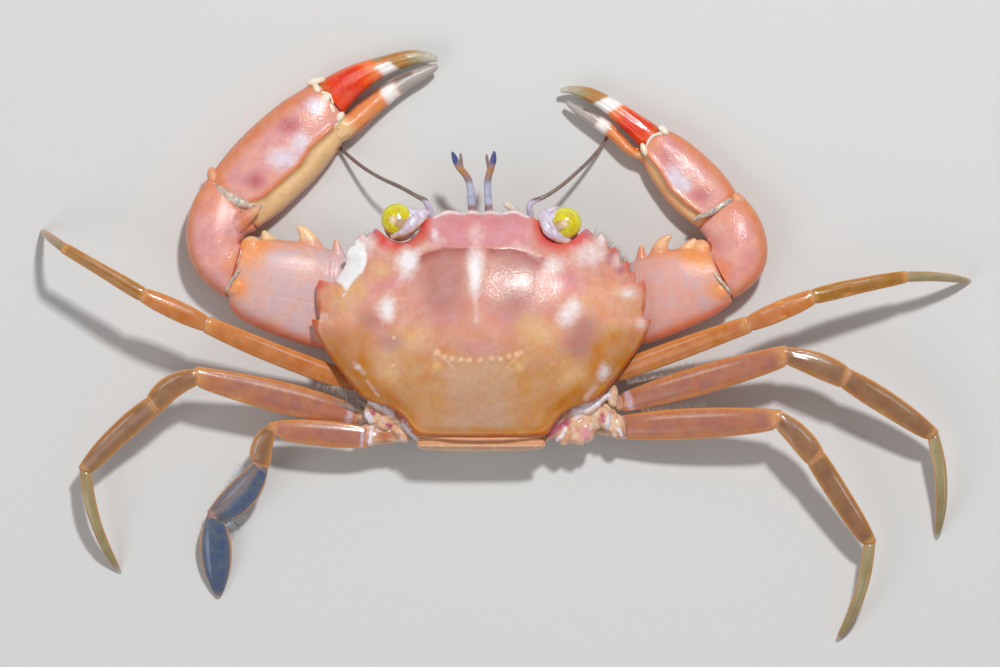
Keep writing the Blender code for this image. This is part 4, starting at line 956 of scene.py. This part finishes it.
# %% Dressing the arms
def dress_arm(side, claw, part):
    """The carpus or the merus of a claw."""
    node = f"claw_{side}_{part}"
    lobes = [lump(f"lobe_{k}", *lobe) for k, lobe in enumerate(claw["lobes"] if part == "merus" else ())]
    dressed = grown_together(node + "_dressed", [rounded(node, 2, grow=0.14)] + lobes)
    at, facing = corners(dressed)
    chain = ("coxa", "merus", "carpus", "palm")
    number = chain.index(part)
    near = joint(f"claw_{side}_{chain[number - 1]}", node)[0]
    far = joint(node, f"claw_{side}_{chain[number + 1]}")[0]
    along, across = lay(at, near, far)
    if part == "carpus":
        elbow = np.hypot(at[:, 0] - near[0], at[:, 1] - near[1])
        outward = distance(at, (near[:2], far[:2]))[1] * (-1 if side == "left" else 1)
        rim = 0.95 * (1 - ramp(facing[:, 2], 0.55, 1.0)) * ramp(outward, -1, 2.5) + claw["carpus_rim"]
        glow = 0.7 * (1 - ramp(elbow, 1.0, 3.4)) + 0.5 * (1 - ramp(1 - along, 0.0, 0.3))
        store(dressed, under=0.9 * spot(at, *WRIST_SPINE), rim=rim, flank=flank(facing),
              mauve=0.2 * spot(at, *(near + far)[:2] / 2, 2.6), orange=glow + 0.9 * spot(at, *WRIST_GLOW),
              pearl=0.25 * spot(at, *(0.35 * near + 0.65 * far)[:2], 2.4), horn=spot(at, *WRIST_SPINE_TIP))
        return wear(dressed, CLAW_SHELL, "claw_shell", node)
    front = -across if side == "left" else across
    wrinkles = rough(at * (0.9, 0.3, 0.5), 1)
    near_body = 1 - ramp(along, 0.1, 0.5)
    ripples = (np.sin(at[:, 0] * 2 * math.pi / RIPPLE_STEP + 5 * wrinkles)
               * ramp(front, -0.5, 0.1) * ramp(1 - front, 0.1, 0.5))
    fold = line(at, ARM_FOLD, 0.16)
    push_out(dressed, (0.12 * wrinkles + 0.055 * ripples) * near_body - 0.05 * fold)
    spines = at[:, 1] - claw["spine_line"]
    store(dressed, rim=0.9 * ramp(-front, 0.7, 1.0) + claw["arm_rim"], flank=flank(facing) * (front < 0.4),
          spine=claw["spine"] * ramp(spines, 0, 1.2), pearl=near_body * ramp(front, -0.8, 0.0),
          grey=(1 - ramp(along, 0.0, 0.3)) * ramp(front, 0.2, 0.6),
          orange=sum(spot(at, *one) for one in claw["elbow"]) + 0.25 * fold
          + claw["spine_glow"] * ramp(spines, -2.1, 0.1))
    return wear(dressed, ARM_SHELL, "claw_shell", node)


for side, claw in CLAWS.items():
    dress_palm(side, claw)
    dress_finger(side, claw)
    dress_arm(side, claw, "carpus")
    dress_arm(side, claw, "merus")
    for one, other in (("coxa", "merus"), ("merus", "carpus"), ("carpus", "palm")):
        joint_skin(f"claw_{side}_{one}", f"claw_{side}_{other}", SKIN)
    hinge = lump(f"skin_hinge_{side}", *claw["hinge_skin"])
    store(hinge, blush=1 - flank(corners(hinge)[1]))
    wear(hinge, SKIN, "stalk_skin")
print("claws:", len(CLAWS))

# %% [markdown]
# A claw's joints turn on hard cream knobs, one above and one below, and bluish skin closes the gap
# between them. The skin is wrinkled because it has to stretch, and wet, so it glints. Each knob is
# an oval and each skin a tapered cord, roughened by noise.

# %% Where the knobs and skins of the claws are
# The knobs that carry each joint: middle, half sizes and turn.
KNOBS = (
    ((-24.9, 36.7, 4.8), (1.45, 0.6, 0.9), 15), ((-24.7, 35.5, 5.4), (0.55, 1.0, 0.7), 35),
    ((-23.5, 34.1, 5.9), (0.75, 0.7, 0.6), 0), ((-22.5, 32.6, 5.8), (0.45, 1.1, 0.6), 15),
    ((-21.3, 31.3, 5.5), (0.65, 0.9, 0.8), -30), ((-22.1, 30.4, 5.4), (0.6, 0.9, 0.7), -25),
    ((27.4, 29.3, 4.8), (0.95, 0.55, 0.7), -40), ((24.5, 26.4, 5.0), (0.5, 1.1, 0.7), 22),
)
WRIST_KNOBS = (((-40.4, 22.3, 4.8), (0.9, 1.5, 1.3), 15), ((38.6, 18.9, 5.1), (1.2, 0.9, 1.2), -35))
# The thin skins and ridges between segments: the finish, then x, y, z and half the thickness.
FOLDS = {
    "wrist_left": ("skin", (-40.6, 21.2, 5.8, 0.4), (-39.3, 20.3, 6.5, 0.7), (-37.4, 18.9, 6.8, 0.85),
                   (-35.4, 18.0, 6.8, 0.8), (-33.4, 17.8, 6.6, 0.3)),
    "wrist_right": ("skin", (31.9, 15.9, 5.8, 0.25), (33.4, 16.4, 6.5, 0.45), (35.4, 17.4, 6.8, 0.5),
                    (37.6, 18.9, 6.1, 0.4)),
    "elbow_left": ("skin", (-38.4, 5.0, 8.4, 0.2), (-37.4, 6.7, 8.8, 0.3), (-36.4, 8.2, 8.8, 0.25)),
    "elbow_right": ("skin", (34.9, 7.8, 7.9, 0.2), (36.1, 6.4, 8.3, 0.3), (37.4, 4.9, 7.9, 0.25)),
    "finger_left": ("skin", (-24.6, 36.0, 5.0, 0.3), (-23.6, 34.6, 5.6, 0.4), (-22.2, 32.4, 5.4, 0.35)),
    "finger_right": ("cream", (28.0, 28.9, 4.6, 0.15), (26.3, 28.8, 5.2, 0.25), (25.3, 28.1, 5.2, 0.25),
                     (24.9, 27.0, 4.8, 0.2)),
    "bridge_left": ("cream", (-24.3, 34.9, 5.9, 0.15), (-23.2, 35.1, 6.1, 0.2), (-22.6, 34.3, 6.1, 0.2),
                    (-22.3, 33.2, 5.9, 0.15)),
}

# %% Knobs and skins of the claws
WRIST_SKIN = shell("arthrodial_membrane_bluish", "#C4B4A8", "#E2CCB0", [("blush", "#8A8890", 0.6)],
                   cloud_mm=0.8, ragged_mm=0.35, roughness=0.2, coat=0.9)
for k, place in enumerate(KNOBS):
    knob = lump(f"claw_knob_{k}", *place, segments=32)
    at, facing = corners(knob)
    push_out(knob, 0.12 * rough(at, 1.1))
    store(knob, blush=ramp(-facing[:, 2], -0.5, 0.5))
    wear(knob, CREAM, "claw_shell")
for k, place in enumerate(WRIST_KNOBS):
    knob = lump(f"wrist_knob_{k}", *place, segments=32)
    at, facing = corners(knob)
    store(knob, orange=np.full(len(at), 0.8), flank=flank(facing))
    wear(knob, ARM_SHELL, "claw_shell")
for name, (kind, *points) in FOLDS.items():
    fold = strand(f"fold_{name}", points, sides=5, steps=12)
    wrinkles = rough(corners(fold)[0], 1.9)
    push_out(fold, 0.08 * wrinkles)
    # The hollows of the wrinkles are painted darker: painted shade.
    store(fold, blush=ramp(-wrinkles, 0.0, 0.3))
    wear(fold, *((WRIST_SKIN, "stalk_skin") if kind == "skin" else (CREAM, "claw_shell")))
print("knobs:", len(KNOBS), "folds:", len(FOLDS))

# %% [markdown]
# ## The eyes
# Each eye is a wet yellow-green ball with a paler rim and olive flecks, and a cream notch where the
# stalk's skin runs up on to it. The lens facets are far too small to see, so the ball is smooth and
# the colour and a clear coat carry it. The stalk is a pearly, lilac fold of skin that curls round
# behind the eye, where a third piece, the bed, closes the socket.

# %% Eyes and stalks
EYE = shell(
    "compound_eye_moist", "#E8D818", "#DCC614",
    [("ring", "#E6E83C", 0.85), ("fleck", "#8E8420", 0.65), ("pale_rim", "#DDE3A0", 0.8),
     ("core", "#A8703C", 0.7), ("tongue", "#C79C86", 0.9), ("cream", "#F6DDB8", 0.95)],
    cloud_mm=1.0, ragged_mm=0.4, grain_mm=0.12, depth_mm=0.01, roughness=0.22, coat=1.0, flesh=0.1)
STALK = shell(
    "eye_stalk_skin_pearly", "#DDD5EA", "#D9C2CE",
    [("fold", "#C69AA8", 0.4), ("pearl", "#ECE9FA", 0.8), ("cream", "#EFDCC2", 0.9),
     ("socket", "#D8C4A8", 0.85)],
    cloud_mm=0.9, ragged_mm=0.4, roughness=0.25, coat=0.9, flesh=0.25)
EYE_RADIUS = 2.42
EYES = {
    "left": {
        "middle": (-12.6, 15.8, 11.3), "notch": (-13.15, 15.75), "opening": -30,
        "lobe": ((-8.2, 17.0, 11.6, 0.55), (-9.1, 16.1, 12.3, 0.95), (-10.6, 15.0, 12.7, 1.15),
                 (-11.9, 13.9, 12.3, 0.85), (-13.4, 13.2, 11.4, 0.45)),
        "ridge": ((-8.2, 15.9), (-9.5, 14.6), (-11.0, 13.5)),
    },
    "right": {
        "middle": (12.6, 15.25, 11.3), "notch": (12.5, 15.15), "opening": -155,
        "lobe": ((9.3, 16.8, 11.6, 0.6), (9.4, 15.6, 12.3, 0.95), (10.2, 14.2, 12.7, 1.1),
                 (11.5, 13.0, 12.3, 0.85), (13.2, 12.4, 11.4, 0.45)),
        "ridge": ((8.3, 16.3), (8.4, 14.9), (9.3, 13.6)),
    },
}


# %% Dressing the eyes
def dress_ball(side, spec):
    """The ball of the eye, with the cream notch and the tongue of skin that runs up to it."""
    ball = lump(f"eye_{side}_dressed", spec["middle"], (EYE_RADIUS,) * 3, segments=96)
    at, facing = corners(ball)
    off = np.hypot(at[:, 0] - spec["middle"][0], at[:, 1] - spec["middle"][1])
    opening, notch = math.radians(spec["opening"]), spec["notch"]
    tongue_end = (notch[0] + 2.4 * math.cos(opening), notch[1] + 2.4 * math.sin(opening))
    wobble, flecks = rough(at, 2.2), rough(at, 3.4, (3, 1, 4))
    top = ramp(facing[:, 2], 0.1, 0.5)
    edge = distance(at, (notch, tongue_end))[0] - 0.05
    edge -= 0.42 * np.hypot(at[:, 0] - notch[0], at[:, 1] - notch[1])
    tongue = (1 - ramp(edge + wobble * 0.3, -0.05, 0.4)) * top
    near_notch = spot(at, *notch, 1.3)
    push_out(ball, 0.1 * tongue - 0.12 * spot(at, *notch, 0.5) * top)
    store(ball, ring=ramp(off, 1.5, 2.1), pale_rim=ramp(off, 2.15, 2.4), tongue=tongue,
          fleck=ramp(flecks, 0.1, 0.4) * near_notch * 1.3 + 0.35 * ramp(flecks, 0.3, 0.5),
          cream=spot(at, *notch, 0.62) * top,
          # Beside the tongue's edge the ball is painted brown: partly the skin's own brown, partly painted
          # shadow along the raised tongue.
          core=band(edge, 0.1, 0.2) * top * ramp(wobble, -0.15, 0.2) * near_notch * 1.5)
    wear(ball, EYE, "eye_yellow", f"eye_{side}")


def dress_stalk(side, spec):
    """The stalk, the fold of skin round the eye, and the bed that closes the socket."""
    stalk = rounded(f"eyestalk_{side}", 3, grow=0.05)
    lobe = strand(f"stalk_lobe_{side}", spec["lobe"], sides=10, steps=24)
    x, y, _ = spec["middle"]
    bed = lump(f"eye_bed_{side}", (x * 0.97, y - 1.1, 10.2), (2.4, 2.2, 1.0), segments=40)
    for piece in (stalk, lobe, bed):
        at, _ = corners(piece)
        folds = rough(at, 0.9, (5, 0, 2))
        push_out(piece, folds * 0.15)
        near_eye = np.hypot(at[:, 0] - x, at[:, 1] - y)
        # fold paints the hollows of the skin's folds darker, as painted shade, and the skin close to the eye
        # in a darker pink of its own.
        store(piece, fold=ramp(-folds, 0.05, 0.3) + 0.8 * (1 - ramp(near_eye, 2.2, 2.9)),
              pearl=ramp(rough(at, 1.4), 0.0, 0.3), cream=line(at, spec["ridge"], 0.35),
              socket=ramp(spec["lobe"][3][1] - at[:, 1], 0.0, 0.6))
        wear(piece, STALK, "stalk_skin", *([f"eyestalk_{side}"] if piece == stalk else []))


for side, spec in EYES.items():
    dress_ball(side, spec)
    dress_stalk(side, spec)
    joint_skin(f"eyestalk_{side}", f"eye_{side}", STALK, fill=0.95)
print("eyes:", len(EYES), "of", 2 * EYE_RADIUS, "mm")

# %% [markdown]
# ## The feelers
# The inner pair are jointed, bluish at the base and brown above, and fork into a thin brown branch
# and a slate-blue brush that tastes the water. The outer pair are thin brown-grey whips, ringed by
# a wave along their length, which is drawn coarser than the real rings so that it shows. Both are
# dull skin.

# %% Feelers
FEELER = shell(
    "feeler_skin_lilac", "#B4B6D2", "#C9CADF",
    [("brown", "#9C7A70", 0.85), ("knuckle", "#C8884C", 0.85), ("blue", "#4A5690", 0.95)],
    cloud_mm=1.0, roughness=0.4, coat=0.3, flesh=0.25)
WHIP = shell("feeler_skin_brown", "#7D6A66", "#8F7A70", [("base", "#D2CADF", 0.95)],
             cloud_mm=1.4, roughness=0.5, coat=0.2)
RING_STEP = 0.6
FORKS = {"left": -3.5, "right": 1.25}    # where each inner feeler forks, blue outside and brown inside
for side, sign in (("left", -1), ("right", 1)):
    inner = rounded(f"antennule_{side}", 2)
    x, y = corners(inner)[0][:, :2].T
    store(inner, brown=ramp(y, 20.8, 21.8) + band(y, 17.6, 0.5), knuckle=band(y, 23.0, 0.6),
          blue=ramp(y, 23.6, 24.4) * ramp(sign * (x - FORKS[side]), -0.1, 0.2))
    wear(inner, FEELER, "feeler_grey", f"antennule_{side}")
    whip = rounded(f"antenna_{side}", 2)
    x, y = corners(whip)[0][:, :2].T
    push_out(whip, 0.02 * np.sin(np.hypot(x, y - 15) * 2 * math.pi / RING_STEP))
    store(whip, base=1 - ramp(y, 18.3, 19.0))
    wear(whip, WHIP, "feeler_grey", f"antenna_{side}")
print("feelers:", 2 * len(FORKS))

# %% [markdown]
# ## Hairs
# Short pale bristles fringe the legs near the body, the left arm, the front edge and the teeth, and
# bluish ones the paddle. They are dull and dry-looking. They could be a particle system, but a
# particle is not part of the mesh and would be lost. Each bristle is a three-sided cone, and
# hundreds of them together cost very little.

# %% Making a fringe
HAIR = shell("bristle_pale", "#CFC6C0", "#B9AEA6", [], cloud_mm=2.0, roughness=0.5, coat=0.1)
PADDLE_HAIR = shell("bristle_bluish", "#A9BCCB", "#C2CDD4", [], cloud_mm=2.0, roughness=0.5, coat=0.1)


def fringe(name, points, aim, spacing, length, thick=0.05, spread=0.4):
    """One mesh of bristles along a line of points, all leaning much the same way."""
    roots = []
    for start, end in zip(points, points[1:]):
        start, end = Vector(start), Vector(end)
        count = max(1, round((end - start).length / spacing))
        roots += [start.lerp(end, (k + rng.random()) / count) for k in range(count)]
    bm = bmesh.new()
    for root in roots:
        lean = Vector(aim).normalized() + Vector([rng.uniform(-spread, spread) for _ in range(3)])
        long = length * rng.uniform(0.6, 1.15)
        place = (Matrix.Scale(MM, 4) @ Matrix.Translation(root + lean.normalized() * long * 0.42)
                 @ lean.to_track_quat("Z", "Y").to_matrix().to_4x4())
        bmesh.ops.create_cone(bm, cap_ends=True, segments=3, radius1=thick, radius2=thick * 0.2,
                              depth=long, matrix=place)
    mesh = bpy.data.meshes.new(name)
    bm.to_mesh(mesh)
    bm.free()
    obj = bpy.data.objects.new(name, mesh)
    bpy.context.scene.collection.objects.link(obj)
    return wear(obj, PADDLE_HAIR if "paddle" in name else HAIR, "feeler_grey")


# %% Fringes
# The name, the line of roots, the way the hairs lean, their spacing and their length.
FRINGES = (
    ("front", ((-7.0, 16.2, 10.3), (-2.8, 16.4, 10.4), (2.8, 16.4, 10.4), (7.0, 16.2, 10.3)),
     (0, 1, 0.25), 0.4, 1.5),
    ("shoulder_right", ((16.6, 13.0, 9.9), (18.8, 11.4, 9.7), (20.7, 9.4, 9.5), (22.2, 7.4, 9.3)),
     (0.7, 0.7, 0.1), 0.05, 2.0),
    ("shoulder_left", ((-16.4, 13.4, 9.9), (-18.3, 12.2, 9.7)), (-0.7, 0.7, 0.1), 0.12, 1.3),
    ("leg_left_2_behind", ((-24.5, -8.3, 6.4), (-17.6, -10.6, 7.0)), (-0.3, -1, 0.2), 0.08, 1.5),
    ("leg_left_2_ahead", ((-22.6, -4.2, 6.6), (-19.2, -6.0, 7.0)), (0.3, 1, 0.2), 0.12, 1.2),
    ("leg_left_4_ahead", ((-25.0, -10.9, 6.2), (-17.6, -13.2, 6.8)), (-0.2, 1, 0.2), 0.1, 1.4),
    ("leg_right_3_ahead", ((22.0, -8.9, 6.8), (27.0, -7.8, 6.6), (32.5, -6.6, 6.2)),
     (-0.2, 1, 0.3), 0.1, 1.4),
    ("leg_right_4_ahead", ((24.0, -13.0, 6.4), (34.0, -12.2, 6.0)), (-0.2, 1, 0.3), 0.25, 1.1),
    ("hip_right", ((18.6, -9.6, 8.0), (19.8, -12.0, 8.0)), (0.8, 0.5, 0.4), 0.06, 1.3),
    ("hip_left", ((-18.0, -11.2, 8.0), (-16.6, -12.4, 8.0)), (-0.9, 0.2, 0.4), 0.06, 1.3),
    ("arm_left", ((-33.2, 12.2, 6.0), (-29.6, 12.0, 6.2), (-26.0, 11.6, 6.4)), (0, 1, 0.3), 0.2, 0.8),
    ("paddle_behind", ((-35.2, -25.6, 4.0), (-38.6, -30.4, 3.6)), (0.8, -0.6, 0.1), 0.08, 1.9),
    ("paddle_ahead", ((-39.6, -27.4, 3.6), (-35.8, -21.4, 4.4)), (-0.8, 0.5, 0.1), 0.12, 1.3),
)
for name, *strip in FRINGES:
    fringe(f"fringe_{name}", *strip)
print("fringes:", len(FRINGES))

# %% [markdown]
# ## The studio
# A pale floor and a pale sky show the colours without a mood of their own. One small lamp above and
# in front stands in for the flash and gives the small glints, and a large, weaker one fills the
# other side.

# %% Floor and lights
floor_mesh = bpy.data.meshes.new("floor")
bm = bmesh.new()
bmesh.ops.create_grid(bm, x_segments=1, y_segments=1, size=1.5)
bm.to_mesh(floor_mesh)
bm.free()
floor = bpy.data.objects.new("floor", floor_mesh)
bpy.context.scene.collection.objects.link(floor)
backdrop = bpy.data.materials.new("studio_paper_pale")
backdrop.use_nodes = True
backdrop.node_tree.nodes["Principled BSDF"].inputs["Base Color"].default_value = colour("#D8D8D6")
backdrop.node_tree.nodes["Principled BSDF"].inputs["Roughness"].default_value = 0.8
floor_mesh.materials.append(backdrop)

LAMPS = (                    # each is its name, its place and size in mm, and its power in watts
    ("key", (130, 320, 620), 55, 3.3),
    ("fill", (-420, -260, 520), 420, 1.0),
)
for name, place, size, power in LAMPS:
    lamp = bpy.data.lights.new(name, "AREA")
    lamp.size = size * MM
    lamp.energy = power
    lamp_object = bpy.data.objects.new(name, lamp)
    lamp_object.location = Vector(place) * MM
    lamp_object.rotation_euler = (-Vector(place)).to_track_quat("-Z", "Y").to_euler()
    bpy.context.scene.collection.objects.link(lamp_object)
sky = bpy.data.worlds.new("studio")
sky.use_nodes = True
sky.node_tree.nodes["Background"].inputs[0].default_value = colour("#F4F5F7")
sky.node_tree.nodes["Background"].inputs[1].default_value = 0.32
bpy.context.scene.world = sky
print("lamps:", len(LAMPS))
